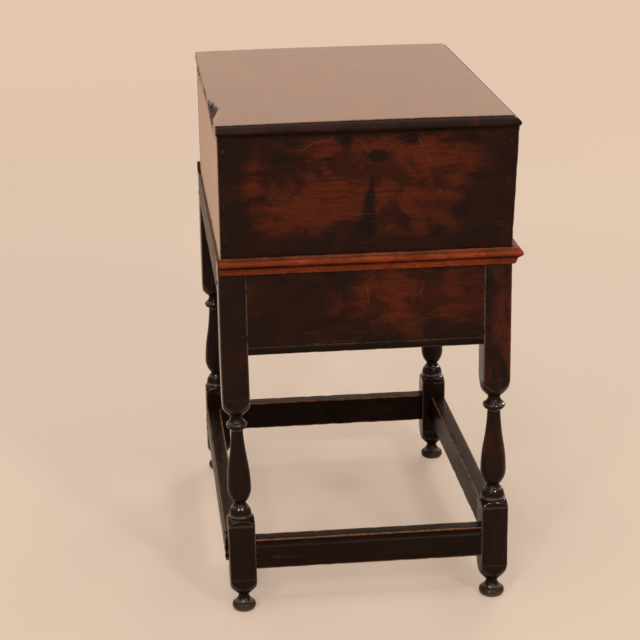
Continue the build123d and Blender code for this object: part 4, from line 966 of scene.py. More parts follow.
def fixing_tree():
    """Nail heads or peg ends: one rough round head set on every point, facing out of the wood."""
    tree, n, inputs, identifiers = new_tree("heads_on_points", (
        ("Radius", "NodeSocketFloat", 0.003), ("Height", "NodeSocketFloat", 0.0009),
        ("Flatness", "NodeSocketFloat", 0.5), ("Dish", "NodeSocketFloat", 0.7),
        ("Roughness", "NodeSocketFloat", 0.0003),
        ("Tilt", "NodeSocketFloat", 0.08), ("Seed", "NodeSocketInt", 1),
        ("Material", "NodeSocketMaterial", None)))
    ball = n.add("GeometryNodeMeshUVSphere", {"Segments": 16, "Rings": 10, "Radius": 1.0}).outputs[0]
    at = n.parts_of_place()

    # A ball pressed flat: its top is low and dished in the middle, and its underside is in the wood.
    upper = n.math("MAXIMUM", at[2], 0.0)
    top = n.math("MULTIPLY", n.math("POWER", upper, inputs["Flatness"]), inputs["Height"])
    dish = n.math("SUBTRACT", 1.0, n.math("MULTIPLY", n.math("POWER", upper, 3.0), inputs["Dish"]))
    top = n.math("MULTIPLY", top, dish)
    under = n.math("MULTIPLY", n.math("MINIMUM", at[2], 0.0), inputs["Radius"])
    across = [n.math("MULTIPLY", part, inputs["Radius"]) for part in at[:2]]
    head = n.moved(ball, Position=n.combined(*across, n.math("ADD", top, under)))

    # One head on every point, a little tilted and of its own size.
    facing = n.add("GeometryNodeInputNamedAttribute", {"Name": "facing"}, data_type="FLOAT_VECTOR").outputs[0]
    leaning = n.add("FunctionNodeRandomValue", {"Min": (-1, -1, -1), "Max": (1, 1, 1),
                                                "Seed": inputs["Seed"]}, data_type="FLOAT_VECTOR").outputs[0]
    facing = n.vector("ADD", facing, n.vector("SCALE", leaning, inputs["Tilt"]))
    aim = n.add("FunctionNodeAlignRotationToVector", {"Vector": facing}, axis="Z").outputs[0]
    grow = n.add("FunctionNodeRandomValue", {2: 0.86, 3: 1.12, "Seed": inputs["Seed"]}, data_type="FLOAT")
    all_heads = n.add("GeometryNodeInstanceOnPoints", {"Points": inputs["Geometry"], "Instance": head,
                                                       "Rotation": aim, "Scale": grow.outputs[1]}).outputs[0]
    all_heads = n.add("GeometryNodeRealizeInstances", {"Geometry": all_heads}).outputs[0]
    spot = n.place()
    rough = n.math("MULTIPLY", n.math("SUBTRACT", n.noise(spot, 420, 2, 0.5), 0.5), inputs["Roughness"])
    normal = n.add("GeometryNodeInputNormal").outputs[0]
    all_heads = n.moved(all_heads, Offset=n.vector("SCALE", normal, rough))
    end_tree(n, all_heads, inputs)
    return tree, identifiers


# ---------------------------------------------------------------- helpers for pieces
def along_side(side):
    """Direction along a side of the stand."""
    return OUTWARD[side].cross(Vector((0, 0, 1)))


def between_legs(side):
    """Length of a rail or stretcher, with the parts that run into the legs."""
    return SIDE_LENGTH[side] - 4 * HALF_LEG + 2 * INTO_LEG


def side_matrix(side):
    """Turns (along, outwards, up) of a side into the frame's own directions."""
    matrix = Matrix((along_side(side), OUTWARD[side], Vector((0, 0, 1)))).transposed().to_4x4()
    return Matrix.Translation(SIDE_ORIGIN[side]) @ matrix


def grain_along_side(mesh, side, depth, level, seed):
    """Run the grain along a side, round a pith at a depth behind the legs' faces and at a level."""
    pith = SIDE_ORIGIN[side] - OUTWARD[side] * depth + Vector((0, 0, level))
    grain_along(mesh, along_side(side), pith, seed)


def outline_mesh(name, points, closed, labels):
    """A mesh of edges only, whose points carry an outline's numbers for a node tree."""
    mesh = bpy.data.meshes.new(name)
    count = len(points)
    edges = [(k, (k + 1) % count) for k in range(count if closed else count - 1)]
    mesh.from_pydata([(p[0], p[1], 0) for p in points], edges, [])
    for column, label in enumerate(labels):
        set_floats(mesh, label, [float(p[column]) for p in points])
    return mesh


def length_of_section(name, side, section, length, tree, values, material):
    """A length of one section on one side of the stand, as a plain mesh in its place."""
    carrier = link(name + "_run", outline_mesh(name, section, True, ("across", "up", "edge_wear", "grime")))
    run_tree(carrier, *tree, {"Length": length, "Material": material, **values})
    mesh = plain_mesh(carrier, name)
    mesh.transform(side_matrix(side))
    tidy_mesh(mesh)
    return mesh


_places = {}


def fixing_places(node):
    """The outer end and the outward direction of every nail or peg in a node."""
    if node in _places:
        return _places[node]
    work = bmesh.new()
    work.from_mesh(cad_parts[node].data)
    bmesh.ops.remove_doubles(work, verts=work.verts, dist=0.000001)
    seen, places = set(), []
    for first in work.verts:
        if first in seen:
            continue
        island, queue = [], [first]
        seen.add(first)
        while queue:
            here = queue.pop()
            island.append(here.co.copy())
            for edge in here.link_edges:
                other = edge.other_vert(here)
                if other not in seen:
                    seen.add(other)
                    queue.append(other)
        low = Vector([min(co[a] for co in island) for a in range(3)])
        high = Vector([max(co[a] for co in island) for a in range(3)])
        size, middle = high - low, (low + high) / 2
        axis = max(range(3), key=lambda a: size[a])
        if axis == 2:
            # An upright nail faces the end at which it is wider.
            wide = [max(math.hypot(co.x - middle.x, co.y - middle.y) for co in island
                        if abs(co.z - z) < 0.8 * MM) for z in (low.z, high.z)]
            sign = -1 if wide[0] > wide[1] else 1
        else:
            sign = 1 if middle[axis] > 0 else -1
        facing = Vector([sign if a == axis else 0 for a in range(3)])
        end = middle.copy()
        end[axis] = high[axis] if sign > 0 else low[axis]
        places.append((end, facing))
    work.free()
    _places[node] = places
    return places


def set_heads(node, body, material, radius, height, sink, seed, flatness=0.5, dish=0.7,
              rough=0.3 * MM, tilt=0.07):
    """The heads of a node's nails or pegs, set on the places the node gives them."""
    places = fixing_places(node)
    mesh = bpy.data.meshes.new(node)
    mesh.from_pydata([tuple(end - facing * sink) for end, facing in places], [], [])
    facing_of = mesh.attributes.new("facing", "FLOAT_VECTOR", "POINT")
    facing_of.data.foreach_set("vector", [part for end, facing in places for part in facing])
    carrier = link(node + "_points", mesh)
    run_tree(carrier, *fixing_tree(), {"Radius": radius, "Height": height, "Flatness": flatness, "Dish": dish,
                                       "Roughness": rough, "Tilt": tilt, "Seed": seed, "Material": material})
    made = plain_mesh(carrier, node)
    grain_along(made, (0.0, 0.0, 1.0), (0.05, 0.03, 0), seed)
    finish_piece(made, node, material, body)


# ---------------------------------------------------------------- pieces
def leg_outline(drop, collar_drop, slim, pitch):
    """Levels of a leg from the floor up, as (radius, level, wear, painted shade) in metres."""
    def low(points, fall=0.0):
        """Points made slimmer and let down."""
        return [(r * slim, z - fall) for r, z in points]

    def curve(points, steps, fall=0.0):
        """An arc through three points, made slimmer and let down."""
        return low(arc(*points, steps), fall)

    line = low(FOOT_PAD) + curve(FOOT_BALL, 12) + low(FOOT_FILLET) + curve(FOOT_NECK, 8)
    line += low(LOW_TONGUE[:1])
    line += arc(line[-1], *LOW_TONGUE[1:], 26)
    pommel = [(r, z - drop) for r, z in POMMEL]
    line += [pommel[0]] + arc(*pommel, 12)
    line += low(BAND, drop) + curve(CUSHION, 12, drop) + low(CUSHION_STEP, drop) + curve(VASE_FOOT, 14, drop)
    line += flowing(low(VASE, drop) + low([VASE_NECK], collar_drop), 3.0)
    line += low(RING_FILLET, collar_drop) + curve(RING_SWELL, 8, collar_drop) + curve(RING, 8, collar_drop)
    line += low(RING_STEP, collar_drop) + curve(RING_COVE, 10, collar_drop) + low(TOP_TONGUE[:1], collar_drop)
    middle, end = [(r, z - collar_drop) for r, z in TOP_TONGUE[1:]]
    line += arc(line[-1], middle, end, 26)
    line += [(CORNER_RADIUS, LEG_TOP[0]), (CORNER_RADIUS - TOP_CHAMFER, LEG_TOP[1])]
    corners = [(r * MM, z * MM, LEG_SOFTENING) for r, z in line]
    return rounded(corners, pitch, closed=False)


def wear_feet(mesh):
    """Rub the lowest part of a leg, where it has been knocked and mopped."""
    wear = get_floats(mesh, "edge_wear")
    bare = []
    for vertex in mesh.vertices:
        wear[vertex.index] = max(wear[vertex.index], 0.75 * math.exp(-(vertex.co.z / (9 * MM)) ** 2))
        bare.append(0.28 * math.exp(-(vertex.co.z / (19 * MM)) ** 4))
    set_floats(mesh, "edge_wear", wear)
    set_floats(mesh, "raw", bare)


class BIBLEBOX_OT_legs(Operator):
    """Turn the four legs and cut them to their square blocks"""
    bl_idname = "bible_box.legs"
    bl_label = "Turned Legs"

    def execute(self, context):
        settings = context.scene.bible_box
        material = finishes(settings.colours)["turned_oak"]
        tree, identifiers = turning_tree()
        for seed, name in enumerate(LEGS, 1):
            low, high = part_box(name)
            centre = Vector(((low.x + high.x) / 2, (low.y + high.y) / 2, 0))
            outline = leg_outline(*LEG_TURNINGS[name], settings.legs.level_pitch)
            # The outline's fourth number is painted shade in the creases of the turning.
            mesh = outline_mesh(name, [(0, 0, r, z, wear, grime) for r, z, wear, grime in outline], False,
                                ("nil", "nil", "radius_here", "level", "ridge", "grime"))
            for vertex, (r, z, wear, grime) in zip(mesh.vertices, outline):
                vertex.co = (0, 0, z)
            carrier = link(name + "_axis", mesh)
            run_tree(carrier, tree, identifiers, {
                "Half Section": HALF_LEG, "Arris": settings.legs.arris, "Segments": settings.legs.segments,
                "Wobble": settings.legs.wobble, "Seed": seed, "Centre": centre,
                "Lean": Vector(LEG_LEANS.get(name, (0, 0, 0))), "Lean Top": LEAN_TOP, "Material": material})
            made = plain_mesh(carrier, name)
            tidy_mesh(made)
            if name.startswith("leg_front"):
                warm_patches(made, [((centre.x, centre.y, z), (0.2, 0.2, reach), strength)
                                    for z, reach, strength in LEG_WARM])
            near_nails(made, ("apron_pegs", "stretcher_pegs"), 5.0 * MM)
            wear_feet(made)
            grain_along(made, (0, 0, 1), centre + Vector((0.012, 0.045, 0)), seed)
            finish_piece(made, name, material, "stand")
        return {"FINISHED"}


def apron_corners(side, foot):
    """Section of an apron, with the hollow along its bottom edge, or of the plain back rail."""
    outer, inner = -SETBACK, -SETBACK - APRON_THICK
    if side == "back":
        return [(outer, foot, 1.4 * MM), (outer, FRAME_TOP, 1.0 * MM), (inner, FRAME_TOP, 1.0 * MM),
                (inner, foot, 1.4 * MM)]
    step = (outer - HOLLOW_STEP, foot + HOLLOW_TOP)
    bend = arc(step, (outer - HOLLOW_MIDDLE[0], foot + HOLLOW_MIDDLE[1]),
               (outer - HOLLOW_DEEP, foot + HOLLOW_FILLET), 8)
    corners = [(outer, FRAME_TOP, 1.0 * MM), (inner, FRAME_TOP, 1.0 * MM), (inner, foot, 1.2 * MM),
               (outer - HOLLOW_DEEP, foot, 0.9 * MM)]
    corners += [(a, b, 0.2 * MM) for a, b in reversed(bend)]
    return corners + [(*step, 0.4 * MM), (outer, foot + HOLLOW_TOP, 0.8 * MM)]


def run_apron(side, seed, tree, looks, hand):
    """One apron or the back rail, dry inside and on top, with painted shade in its hollow."""
    is_back = side == "back"
    node = "rail_back" if is_back else "apron_" + side
    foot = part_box(node)[0].z
    look = looks["back_rail_oak" if is_back else "apron_oak"]
    mesh = length_of_section(node, side, rounded(apron_corners(side, foot), hand.pitch), between_legs(side),
                             tree, {"Pitch": hand.pitch, "Bend": 0.6 * MM, "Seed": seed}, look)
    inner = -SETBACK - APRON_THICK
    matrix = side_matrix(side).inverted()
    local = [matrix @ vertex.co for vertex in mesh.vertices]
    set_floats(mesh, "raw", [1.0 if p.y < inner + 0.4 * MM or p.z > FRAME_TOP - 0.2 * MM else 0.0
                             for p in local])
    grime = get_floats(mesh, "grime")
    # Painted shade over the hollow along the bottom edge.
    for index, place in enumerate(local):
        if not is_back and place.y > inner + 4 * MM and place.z < foot + HOLLOW_TOP - 1.5 * MM:
            grime[index] = max(grime[index], 0.85)
    set_floats(mesh, "grime", grime)
    age(mesh, hand, seed, loss=0.7)
    middle = SIDE_ORIGIN[side]
    warm_patches(mesh, [((middle.x, middle.y + y, z), (0.2, reach_y, reach_z), strength)
                        for y, z, reach_y, reach_z, strength in APRON_WARM])
    grain_along_side(mesh, side, 0.09, 0.49, seed)
    finish_piece(mesh, node, look, "stand")


def run_stretcher(side, seed, tree, looks, hand):
    """One low stretcher, with its flute."""
    node = "stretcher_" + side
    low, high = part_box(node)
    outer, inner = -SETBACK, -SETBACK - STRETCHER_THICK
    middle = high.z - FLUTE_DROP
    ends = ((outer, middle + FLUTE_WIDE / 2), (outer - FLUTE_DEEP, middle), (outer, middle - FLUTE_WIDE / 2))
    corners = [(outer, low.z, 1.6 * MM), (inner, low.z, 1.6 * MM), (inner, high.z, 2.0 * MM),
               (outer, high.z, 1.8 * MM), (*ends[0], 0.7 * MM)]
    corners += [(a, b, 0.2 * MM) for a, b in arc(*ends, 10)[:-1]] + [(*ends[2], 0.7 * MM)]
    look = looks["low_oak"]
    mesh = length_of_section(node, side, rounded(corners[::-1], hand.pitch), between_legs(side), tree,
                             {"Pitch": hand.pitch, "Bend": 0.9 * MM, "Seed": seed}, look)
    age(mesh, hand, seed, loss=0.8)
    grain_along_side(mesh, side, 0.07, 0.06, seed)
    finish_piece(mesh, node, look, "stand")


class BIBLEBOX_OT_rails(Operator):
    """Run the aprons, the back rail and the four stretchers, with their hollows and flutes"""
    bl_idname = "bible_box.rails"
    bl_label = "Rails and Stretchers"

    def execute(self, context):
        settings = context.scene.bible_box
        looks = finishes(settings.colours)
        tree = run_of_section_tree()
        for first_seed, run in ((11, run_apron), (21, run_stretcher)):
            for seed, side in enumerate(("left", "right", "front", "back"), first_seed):
                run(side, seed, tree, looks, settings.hand)
        return {"FINISHED"}


class BIBLEBOX_OT_moulding(Operator):
    """Run the waist moulding and mitre it round the front corners"""
    bl_idname = "bible_box.moulding"
    bl_label = "Waist Moulding"

    def execute(self, context):
        settings = context.scene.bible_box
        look = finishes(settings.colours)["moulding_oak"]
        tree = run_of_section_tree()
        mitres = {"left": (1.0, 0.0), "front": (1.0, 1.0), "right": (0.0, 1.0)}
        for seed, side in enumerate(("left", "front", "right"), 31):
            node = "moulding_" + side
            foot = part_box(node)[0].z
            corners = [(a * MM, foot + b * MM, r * MM) for a, b, r in MOULDING_OUTLINE]
            section = rounded(corners[::-1], 1.4 * MM)
            start, end = mitres[side]
            mesh = length_of_section(node, side, section, SIDE_LENGTH[side], tree,
                                     {"Pitch": 3.2 * MM, "Mitre Start": start, "Mitre End": end,
                                      "Bend": 0.5 * MM, "Seed": seed}, look)
            matrix = side_matrix(side).inverted()
            grime = get_floats(mesh, "grime")
            for vertex in mesh.vertices:
                place = matrix @ vertex.co
                out, up = place.y / MM, (place.z - foot) / MM
                # Painted shade in the cove under the nose and along the bottom edge; darker along the top
                # where it meets the box, and on the cut back ends.
                if 10.0 < up < 15.5 and 6.0 < out < 13.0 or up < 1.5:
                    grime[vertex.index] = 1.0
                if up > 23.6 and out > 6.0:
                    grime[vertex.index] = max(grime[vertex.index], 0.75)
                if vertex.co.y > STAND_BACK - 0.6 * MM:
                    grime[vertex.index] = max(grime[vertex.index], 0.85)
            set_floats(mesh, "grime", grime)
            warm_patches(mesh, (((0, 0, foot + 5.5 * MM), (9, 9, 5.0 * MM), 1.4),))
            age(mesh, settings.hand, seed, wave=0.6, loss=0.9)
            grain_along_side(mesh, side, 0.03, foot - 0.05, seed)
            finish_piece(mesh, node, look, "stand")
        return {"FINISHED"}


def lean_out(mesh, top, foot, inside):
    """Lean the front of a board of the box out, from the moulding's lip up to the board's top."""
    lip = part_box("moulding_left")[1].z
    for vertex in mesh.vertices:
        rise = max(0.0, (vertex.co.z - lip) / (top - lip))
        share = min(1.0, max(0.0, (inside - vertex.co.y) / (inside - foot)))
        vertex.co.y -= BOX_FRONT_LEAN * rise * share


def box_end(side, seed, foot, inside, look, hand):
    """One end board: raw inside, rubbed red in places, stained, with a painted shadow of the lid along its
    top, and with its grain flowing round a knot.
    """
    node = f"box_{side}_end"
    low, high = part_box(node)
    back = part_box("box_back")[1].y
    mesh = board(node, (low.x, foot, low.z), (high.x, back, high.z), hand.arris, hand.pitch)
    lean_out(mesh, high.z, foot, inside)
    middle = (low.x + high.x) / 2
    set_floats(mesh, "raw", [1.0 if abs(v.co.x) < abs(middle) - RAW_DEPTH else 0.0 for v in mesh.vertices])
    near_nails(mesh, ("box_corner_nails", "box_bottom_nails"), 3.6 * MM)
    age(mesh, hand, seed)
    warm_patches(mesh, [((middle, y, z), (1, reach_y, reach_z), strength)
                        for y, z, reach_y, reach_z, strength in END_WARM])
    # Stains, and the painted shadow of the lid along the top edge.
    dark_places(mesh, [((middle, y, z), (1, reach_y, reach_z)) for y, z, reach_y, reach_z in END_STAINS_AND_LID_SHADOW])
    grain_along(mesh, (0, 1, 0), (middle * 0.72, 0, 0.72), seed)
    flow_round(mesh, (((middle, *END_KNOT[:2]), END_KNOT[2]),))
    finish_piece(mesh, node, look, "box")


def keyhole_cutter(plate):
    """A bar with the keyhole's outline, through the front board and in line with the escutcheon's."""
    low, high = plate
    middle = (low.z + high.z) / 2 + KEYHOLE_RISE
    angles = [math.radians(-45 + 15 * k) for k in range(19)]
    points = [(KEYHOLE_RADIUS * math.cos(a), KEYHOLE_RADIUS * math.sin(a)) for a in angles]
    points += [(-KEYHOLE_SLOT / 2, -KEYHOLE_DROP), (KEYHOLE_SLOT / 2, -KEYHOLE_DROP)]
    work = bmesh.new()
    rings = [[work.verts.new((x, y, middle + z)) for x, z in points] for y in (low.y - 0.01, low.y + 0.05)]
    count = len(points)
    for k in range(count):
        on = (k + 1) % count
        work.faces.new((rings[0][k], rings[0][on], rings[1][on], rings[1][k]))
    for ring in rings:
        work.faces.new(ring)
    bmesh.ops.recalc_face_normals(work, faces=work.faces)
    mesh = bpy.data.meshes.new("keyhole")
    work.to_mesh(mesh)
    work.free()
    return link("keyhole", mesh)


def cut_away(piece, cutter):
    """Take a cutter out of a piece."""
    modifier = piece.modifiers.new(cutter.name, "BOOLEAN")
    modifier.operation, modifier.solver, modifier.object = "DIFFERENCE", "EXACT", cutter
    graph = bpy.context.evaluated_depsgraph_get()
    made = bpy.data.meshes.new_from_object(piece.evaluated_get(graph), preserve_all_data_layers=True,
                                           depsgraph=graph)
    piece.modifiers.clear()
    piece.data = made
    bpy.data.objects.remove(cutter)


class BIBLEBOX_OT_box(Operator):
    """Build the boards of the box"""
    bl_idname = "bible_box.box"
    bl_label = "Box Boards"

    def execute(self, context):
        settings = context.scene.bible_box
        looks = finishes(settings.colours)
        hand = settings.hand
        front_low, front_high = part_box("box_front")
        foot, inside = front_low.y + BOX_FRONT_LEAN, front_high.y
        for seed, side in enumerate(("left", "right"), 41):
            box_end(side, seed, foot, inside, looks["end_oak"], hand)

        mesh = board("box_front", (front_low.x, foot, front_low.z), front_high, hand.arris, hand.pitch)
        lean_out(mesh, front_high.z, foot, inside)
        set_floats(mesh, "raw", [1.0 if v.co.y > inside - 0.3 * MM else 0.0 for v in mesh.vertices])
        near_nails(mesh, ("box_bottom_nails", "escutcheon_nails"), 3.6 * MM)
        age(mesh, hand, 43)
        grain_along(mesh, (1, 0, 0), (0, -0.13, 0.66), 43)
        piece = finish_piece(mesh, "box_front", looks["dark_oak"], "box")
        cut_away(piece, keyhole_cutter(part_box("escutcheon")))

        # The back is raw on its inside, and the bottom all over.
        for seed, node in enumerate(("box_back", "box_bottom"), 44):
            low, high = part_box(node)
            mesh = board(node, low, high, hand.arris, hand.pitch * 1.3)
            raw = [1.0 if node == "box_bottom" or v.co.y < low.y + 0.4 * MM else 0.0 for v in mesh.vertices]
            set_floats(mesh, "raw", raw)
            near_nails(mesh, ("box_bottom_nails",), 3.2 * MM)
            age(mesh, hand, seed)
            grain_along(mesh, (1, 0, 0), (0, high.y - 0.1, low.z + 0.07), seed)
            finish_piece(mesh, node, looks["plain_oak"], "box")
        return {"FINISHED"}


def lid_profile(inset):
    """How far the lid's top lies below its crown, at a distance in from a moulded edge."""
    d = inset / MM
    if inset >= LID_EDGE:
        return 0.0
    for (d1, z1), (d0, z0) in zip(LID_PROFILE, LID_PROFILE[1:]):
        if d >= d0:
            return (z0 + (z1 - z0) * (d - d0) / (d1 - d0)) * MM
    return LID_PROFILE[-1][1] * MM


def lid_bow(y, low, high):
    """How far the lid's crown stands up at a depth."""
    span = high.y - low.y
    return LID_CROWN * (1 - ((y - low.y - span * 0.45) / (span * 0.55)) ** 2)


def lid_break(x):
    """How far the lid's back edge is broken away at x, from 0 to 1."""
    d = x / MM - BREAK_MIDDLE
    share = max(0.0, 1 - (abs(d) / (BREAK_REACH[0] if d < 0 else BREAK_REACH[1])) ** 1.3)
    return share * (0.86 + 0.22 * noise.noise(Vector((x * 90, 3.0, 1.0))))


def lid_top(x, y, low, high):
    """A point of the lid's top, its wear and its darkening."""
    inset, from_back = min(x - low.x, high.x - x, y - low.y), high.y - y
    lost = lid_break(x)
    z = high.z - lid_profile(inset)
    z -= max(0.0, 0.8 * MM - from_back) * 0.8
    z += lid_bow(y, low, high) * min(1.0, 0.35 + inset / (20 * MM))
    if lost > 0.02 and from_back < BREAK_WIDE * lost:
        # The break slopes from the surface down to the back edge.
        z -= BREAK_DEEP * min(1.0, (1 - from_back / (BREAK_WIDE * lost)) * 3.2)
        z += 1.4 * MM * noise.noise(Vector((x * 0.3, y, 0)) / 0.004)
    edge = min(abs(inset - d) for d in (0.3 * MM, 11.4 * MM))
    wear = math.exp(-(edge / (1.6 * MM)) ** 2) * (0.55 if inset < 3 * MM else 1.0)
    wear = 0.2 if from_back < BREAK_WIDE * lost else max(wear, lid_back_wear(from_back))
    # Darker in the break, and painted shade in the fillet round the crown.
    grime = 0.6 if from_back < 11 * MM * lost else math.exp(-((inset - 9.9 * MM) / (0.8 * MM)) ** 2)
    return (x, y, z), wear, grime


def lid_under(x, y, low, high):
    """A point of the lid's underside, its wear and no darkening."""
    inset, from_back = min(x - low.x, high.x - x, y - low.y), high.y - y
    under = min(1.0, inset / LID_UNDER)
    if min(x - low.x, high.x - x) < LID_UNDER:
        x += (1 - under) * LID_UNDER * (1 if x - low.x < high.x - x else -1)
    if y - low.y < LID_UNDER:
        y += LID_UNDER - (y - low.y)
    z = low.z + 0.2 * MM * (from_back < 0.5 * MM)
    return (x, y, z), lid_back_wear(from_back), 0.0


def lid_back_wear(from_back):
    """Wear along the lid's back edge."""
    return math.exp(-(from_back / (2.5 * MM)) ** 2)


def lid_lines(start, end, first, last, pitch):
    """Mesh lines across the lid, given distances in from each of its edges."""
    inner = end - last[-1] - (start + first[-1])
    steps = math.ceil(inner / pitch)
    middle = [start + first[-1] + inner * k / steps for k in range(1, steps)]
    return [start + d for d in first] + middle + [end - d for d in reversed(last)]


def lid_mesh(low, high, pitch):
    """The lid's board: its moulded top, its underside and the rim between them."""
    insets, back = [d * MM for d in LID_INSETS], [d * MM for d in LID_BACK_INSETS]
    xs = lid_lines(low.x, high.x, insets, insets, pitch)
    ys = lid_lines(low.y, high.y, insets, back, pitch)
    last_x, last_y = len(xs) - 1, len(ys) - 1
    points, faces, index = [], [], {}

    def vertex(i, j, layer):
        """Number of the vertex at a crossing of the lines, on the top or the underside."""
        key = (i, j, layer)
        if key not in index:
            index[key] = len(points)
            points.append(layer(xs[i], ys[j], low, high))
        return index[key]

    for layer in (lid_top, lid_under):
        for i in range(last_x):
            for j in range(last_y):
                faces.append([vertex(i + a, j + b, layer) for a, b in ((0, 0), (1, 0), (1, 1), (0, 1))])
    rim = [(i, 0) for i in range(last_x + 1)] + [(last_x, j) for j in range(1, last_y + 1)]
    rim += [(i, last_y) for i in range(last_x - 1, -1, -1)] + [(0, j) for j in range(last_y - 1, 0, -1)]
    for here, on in zip(rim, rim[1:] + rim[:1]):
        faces.append([vertex(*here, lid_top), vertex(*on, lid_top), vertex(*on, lid_under),
                      vertex(*here, lid_under)])
    mesh = bpy.data.meshes.new("lid")
    mesh.from_pydata([place for place, wear, grime in points], [], faces)
    set_floats(mesh, "edge_wear", [wear for place, wear, grime in points])
    set_floats(mesh, "grime", [grime for place, wear, grime in points])
    set_floats(mesh, "raw", [1.0 if v.co.z < low.z + 0.3 * MM and v.co.x > low.x + 4 * MM
                             and v.co.x < high.x - 4 * MM and v.co.y > low.y + 4 * MM else 0.0
                             for v in mesh.vertices])
    tidy_mesh(mesh)
    return mesh


class BIBLEBOX_OT_lid(Operator):
    """Shape the lid with its moulded edge, its slight bow and the piece broken out of its back edge"""
    bl_idname = "bible_box.lid"
    bl_label = "Lid"

    def execute(self, context):
        settings = context.scene.bible_box
        looks = finishes(settings.colours)
        low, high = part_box("lid")
        mesh = lid_mesh(low, high, settings.hand.pitch)
        age(mesh, settings.hand, 51, wave=1.3, loss=0.4)
        dark_places(mesh, [((x, y, high.z), (reach_x, reach_y, 1)) for x, y, reach_x, reach_y in LID_MARKS])
        grain_along(mesh, (1, 0, 0), (0, 0.06, low.z - 0.16), 51)
        finish_piece(mesh, "lid", looks["lid_oak"], "lid")

        # The moulded edge and the break have a finish of their own.
        mesh.materials.append(looks["lid_edge"])
        for polygon in mesh.polygons:
            x, y, z = polygon.center
            inset = min(x - low.x, high.x - x, y - low.y)
            sunk = low.z + 1 * MM < z < high.z + lid_bow(y, low, high) - 1.2 * MM
            if inset < LID_EDGE + 0.1 * MM or (sunk and high.y - y < 13.5 * MM * lid_break(x)):
                polygon.material_index = 1
        return {"FINISHED"}


class BIBLEBOX_OT_pegs(Operator):
    """Set the ends of the oak pegs in the legs"""
    bl_idname = "bible_box.pegs"
    bl_label = "Pegs"

    def execute(self, context):
        settings = context.scene.bible_box
        fixings = settings.fixings
        look = finishes(settings.colours)["turned_oak"]
        for seed, node in enumerate(("apron_pegs", "stretcher_pegs"), 61):
            set_heads(node, "stand", look, fixings.peg_radius, fixings.peg_proud, 0.4 * MM,
                      seed, flatness=0.3, dish=0.25, rough=0.4 * MM, tilt=0.05)
        return {"FINISHED"}


class BIBLEBOX_OT_nails(Operator):
    """Set the heads of all the nails"""
    bl_idname = "bible_box.nails"
    bl_label = "Nails"

    def execute(self, context):
        settings = context.scene.bible_box
        fixings = settings.fixings
        look = finishes(settings.colours)["waxed_iron"]
        for seed, (node, body, size, sink) in enumerate((
                ("box_corner_nails", "box", 1.0, 0.9 * MM), ("box_bottom_nails", "box", 0.75, 0.1 * MM),
                ("moulding_nails", "stand", 0.45, 0.1 * MM)), 71):
            set_heads(node, body, look, fixings.head_radius * size, fixings.head_height * size,
                      sink, seed)
        return {"FINISHED"}


class BIBLEBOX_OT_iron(Operator):
    """Finish the hinges, the lock, its bolt, the staple and the escutcheon as forged iron"""
    bl_idname = "bible_box.iron"
    bl_label = "Ironwork"

    def execute(self, context):
        looks = finishes(context.scene.bible_box.colours)
        for name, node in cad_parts.items():
            if node.hide_render:
                continue
            outside = "hinge" in name or "escutcheon" in name
            node.data.materials.clear()
            node.data.materials.append(looks["waxed_iron" if outside else "iron"])
        return {"FINISHED"}


# ---------------------------------------------------------------- stage
def area_lamp(name, place, aim, size, power, colour):
    """A soft square lamp that points at a place."""
    data = bpy.data.lights.new(name, "AREA")
    data.shape, data.size, data.energy, data.color = "SQUARE", size, power, colour
    lamp = link(name, data)
    lamp.location = place
    lamp.rotation_euler = (Vector(aim) - Vector(place)).to_track_quat("-Z", "Y").to_euler()


def pale_floor(stage):
    """The floor, whose glow brings it up to the background's colour away from the stand."""
    material, n, output = new_material("pale_floor")
    shader = n.add("ShaderNodeBsdfPrincipled", {"Base Color": (*stage.floor, 1), "Roughness": 0.9,
                                                "Specular IOR Level": 0.1}).outputs[0]
    glow = n.add("ShaderNodeEmission", {"Color": (*stage.wall, 1), "Strength": FLOOR_GLOW}).outputs[0]
    seen = n.add("ShaderNodeLightPath").outputs["Is Camera Ray"]
    spot = n.add("ShaderNodeTexCoord").outputs["Object"]
    away = n.add("ShaderNodeVectorMath", {0: spot}, operation="LENGTH").outputs["Value"]
    share = n.math("MULTIPLY", seen, n.smooth(away, *FLOOR_GLOW_REACH, *FLOOR_GLOW_SHARE))
    both = n.add("ShaderNodeMixShader", {0: share, 1: shader, 2: glow}).outputs[0]
    n.tree.links.new(both, output.inputs[0])
    return material


def studio_world(stage):
    """Soft light from all round, and the background's own colour where it is seen or mirrored."""
    world = bpy.data.worlds.new("studio")
    world.use_nodes = True
    world.node_tree.nodes.clear()
    n = Nodes(world.node_tree)
    output = n.add("ShaderNodeOutputWorld")
    rays = n.add("ShaderNodeLightPath").outputs
    seen = n.math("MAXIMUM", n.math("MAXIMUM", rays["Is Camera Ray"], rays["Is Glossy Ray"]),
                  rays["Is Transmission Ray"])
    soft = n.add("ShaderNodeBackground", {"Color": (1.0, 0.97, 0.94, 1), "Strength": 0.35}).outputs[0]
    shown = n.add("ShaderNodeBackground", {"Color": (*stage.wall, 1), "Strength": 1.0}).outputs[0]
    both = n.add("ShaderNodeMixShader", {0: seen, 1: soft, 2: shown}).outputs[0]
    n.tree.links.new(both, output.inputs[0])
    return world


def aimed_camera(lens):
    """The camera at its place, turned by its yaw, pitch and roll."""
    data = bpy.data.cameras.new("camera")
    data.sensor_width, data.lens, data.clip_end = 36, lens, 60
    camera = link("camera", data)
    yaw, pitch, roll = (math.radians(angle) for angle in CAMERA_ANGLES)
    ahead = Vector((math.cos(pitch) * math.cos(yaw), math.cos(pitch) * math.sin(yaw), -math.sin(pitch)))
    flat = ahead.cross(Vector((0, 0, 1))).normalized()
    rise = flat.cross(ahead)
    right = flat * math.cos(roll) + rise * math.sin(roll)
    up = rise * math.cos(roll) - flat * math.sin(roll)
    turn = Matrix((right, up, -ahead)).transposed().to_4x4()
    camera.matrix_world = Matrix.Translation(CAMERA_PLACE) @ turn
    return camera


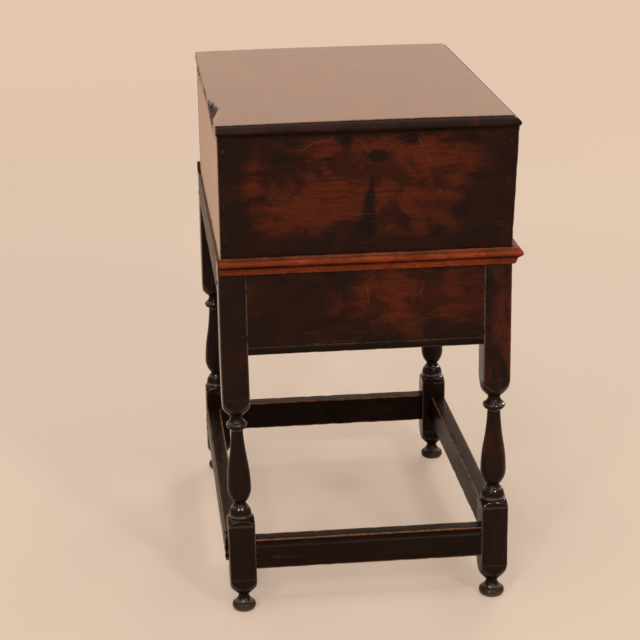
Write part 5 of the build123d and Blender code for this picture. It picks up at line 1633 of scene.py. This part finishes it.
class BIBLEBOX_OT_stage(Operator):
    """Set up the floor, the background, the lamps and the camera"""
    bl_idname = "bible_box.stage"
    bl_label = "Stage"

    def execute(self, context):
        scene = context.scene
        stage = scene.bible_box.stage
        scene.view_settings.view_transform = "Standard"

        work = bmesh.new()
        bmesh.ops.create_grid(work, x_segments=1, y_segments=1, size=FLOOR_HALF)
        mesh = bpy.data.meshes.new("floor")
        work.to_mesh(mesh)
        work.free()
        floor = link("floor", mesh)
        floor.data.materials.append(pale_floor(stage))

        scene.world = studio_world(stage)
        for name, place, aim, size, power, colour in LAMPS:
            area_lamp(name, place, aim, size, getattr(stage, power), colour)
        scene.camera = aimed_camera(stage.lens)
        return {"FINISHED"}


STEPS = (BIBLEBOX_OT_stage, BIBLEBOX_OT_legs, BIBLEBOX_OT_rails, BIBLEBOX_OT_moulding, BIBLEBOX_OT_box,
         BIBLEBOX_OT_lid, BIBLEBOX_OT_pegs, BIBLEBOX_OT_nails, BIBLEBOX_OT_iron)


class BIBLEBOX_PT_panel(Panel):
    """Buttons that build each part of the bible box"""
    bl_idname = "BIBLEBOX_PT_panel"
    bl_label = "Bible Box"
    bl_space_type = "VIEW_3D"
    bl_region_type = "UI"
    bl_category = "Bible Box"

    def draw(self, context):
        for step in STEPS:
            self.layout.operator(step.bl_idname)
        settings = context.scene.bible_box
        for group in (settings.colours, settings.hand, settings.legs, settings.fixings, settings.stage):
            box = self.layout.box()
            for key in group.__annotations__:
                box.prop(group, key)


CLASSES = (BibleBoxColours, BibleBoxHandWork, BibleBoxLegs, BibleBoxFixings, BibleBoxStage, BibleBoxSettings,
           *STEPS, BIBLEBOX_PT_panel)


def register():
    """Register the classes and the settings."""
    for each in CLASSES:
        bpy.utils.register_class(each)
    bpy.types.Scene.bible_box = PointerProperty(type=BibleBoxSettings)


def unregister():
    """Remove the settings and the classes."""
    del bpy.types.Scene.bible_box
    for each in reversed(CLASSES):
        bpy.utils.unregister_class(each)


def main():
    """Build the stage and every piece."""
    register()
    bpy.ops.bible_box.stage()
    bpy.ops.bible_box.legs()
    bpy.ops.bible_box.rails()
    bpy.ops.bible_box.moulding()
    bpy.ops.bible_box.box()
    bpy.ops.bible_box.lid()
    bpy.ops.bible_box.pegs()
    bpy.ops.bible_box.nails()
    bpy.ops.bible_box.iron()


if __name__ == "__main__":
    main()
